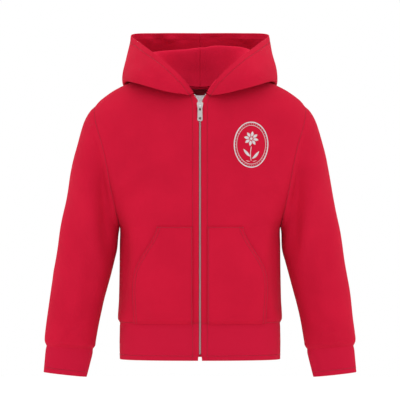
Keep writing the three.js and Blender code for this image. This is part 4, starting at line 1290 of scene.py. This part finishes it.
def satin(x, z, width, closed=False, swell=None):
    """Bands of satin stitch along paths in the front view, count x stations."""
    paths, normals = on_front(FLOWER_X + x, FLOWER_Z + z)
    shape = 1 if swell is None else swell
    height = SATIN_HEIGHT * shape**0.5
    return sweep(paths, normals, SATIN_PROFILE, width / 2 * shape, height, closed)


def round_turn(count):
    """Angles spaced evenly round a full circle."""
    return np.linspace(0, 2 * math.pi, count, endpoint=False)


def make_border():
    """Two oval lines and a ring of short radial dashes between them."""
    turn = round_turn(120)[None]
    parts = []
    for share, width in ((1.0, 2.1), (0.86, 0.9)):
        x = RING_HALF_WIDTH * share * np.sin(turn)
        z = RING_HALF_HEIGHT * share * np.cos(turn)
        parts.append(satin(x, z, width, closed=True))
    turn, between = round_turn(44)[:, None], np.linspace(0.895, 0.955, 5)[None]
    x = RING_HALF_WIDTH * between * np.sin(turn)
    z = RING_HALF_HEIGHT * between * np.cos(turn)
    return parts + [satin(x, z, 0.8)]


def make_flower():
    """Petals like spokes round an eye, on a wavy stem with two leaves and two blades of grass."""
    parts = make_border()
    along = np.linspace(0, 1, 12)
    leaf = np.sin(math.pi * np.clip(along, 0.03, 0.97)) ** 0.75
    turn = round_turn(8)[:, None] + 0.2
    reach = 3.6 + 9.6 * along[None]
    x, z = reach * np.sin(turn), HEAD_Z + reach * np.cos(turn)
    parts.append(satin(x, z, 5.2, swell=leaf))
    turn = round_turn(16)[None]
    parts.append(satin(1.3 * np.sin(turn), HEAD_Z + 1.3 * np.cos(turn), 2.4, closed=True))
    stem = np.linspace(-3.5, -29, 24)[None]
    parts.append(satin(1.6 * np.sin((stem + 3) / 9), stem, 1.3))
    for side, low, high in ((-1, -21, -8), (1, -25, -12)):
        x = side * (1.2 + 13 * along**0.9)[None]
        z = (low + (high - low) * along**1.3)[None]
        parts.append(satin(x, z, 5.0, swell=leaf))
    grass = np.linspace(0, 1, 10)
    blade = np.sin(math.pi * np.clip(grass, 0.05, 0.95)) ** 0.5
    for side in (-1, 1):
        x, z = side * (2.5 + 7 * grass)[None], (-30.5 + 2 * grass**2)[None]
        parts.append(satin(x, z, 1.0, swell=blade))
    swept_piece("chest_flower", parts, WHITE_THREAD)


panels.update(make_pockets())
make_tapes()
make_neck()
make_stitches()
make_chain()
make_flower()
for metal_node in ("zip_slider", "pull_tab"):
    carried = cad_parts[metal_node]
    for slot in carried.material_slots:
        slot.material = SLIDER_METAL


# Floor and lights

FLOOR_Z = -700
FLOOR_RADIUS = 2700


def make_stage():
    """A plain pale floor: a flat round disc, seen against the white of the studio."""
    turn = round_turn(96)
    rim = np.stack([np.sin(turn), np.cos(turn), 0 * turn], axis=-1) * FLOOR_RADIUS
    points = (rim + np.array([0, 0, FLOOR_Z])) * MM
    mesh = bpy.data.meshes.new("floor")
    mesh.from_pydata(points.tolist(), [], [list(range(len(points)))[::-1]])
    mesh.materials.append(new_material("paper", "#fbfbfb", 0.95)[0])
    floor = bpy.data.objects.new("floor", mesh)
    bpy.context.collection.objects.link(floor)


def area_light(name, place, aim, size, power):
    """A soft white panel at a place, turned towards its aim."""
    light = bpy.data.lights.new(name, "AREA")
    light.shape = "RECTANGLE"
    light.size, light.size_y = size
    light.energy = power
    lamp = bpy.data.objects.new(name, light)
    lamp.location = place
    lamp.rotation_euler = (Vector(aim) - Vector(place)).to_track_quat("-Z", "Y").to_euler()
    bpy.context.collection.objects.link(lamp)


def make_lights():
    """An even white studio, with soft panels from both sides, the front and above."""
    world = bpy.data.worlds.new("studio")
    world.use_nodes = True
    sky = world.node_tree.nodes["Background"]
    sky.inputs["Color"].default_value = (1, 1, 1, 1)
    sky.inputs["Strength"].default_value = 1.0
    bpy.context.scene.world = world
    area_light("left", (-3.2, -0.3, -0.4), (-0.1, 0, -0.4), (0.6, 1.5), 10)
    area_light("right", (3.2, -0.3, -0.4), (0.1, 0, -0.4), (0.6, 1.5), 12)
    area_light("front", (0, -5.6, -0.3), (0, 0, -0.3), (0.5, 0.5), 4)
    area_light("top", (0, -2.8, 1.7), (0, 0, -0.1), (1.4, 0.6), 4)
    area_light("floor", (0, 0.6, 3.2), (0, 0.6, -0.7), (3.0, 3.0), 40)


make_stage()
make_lights()
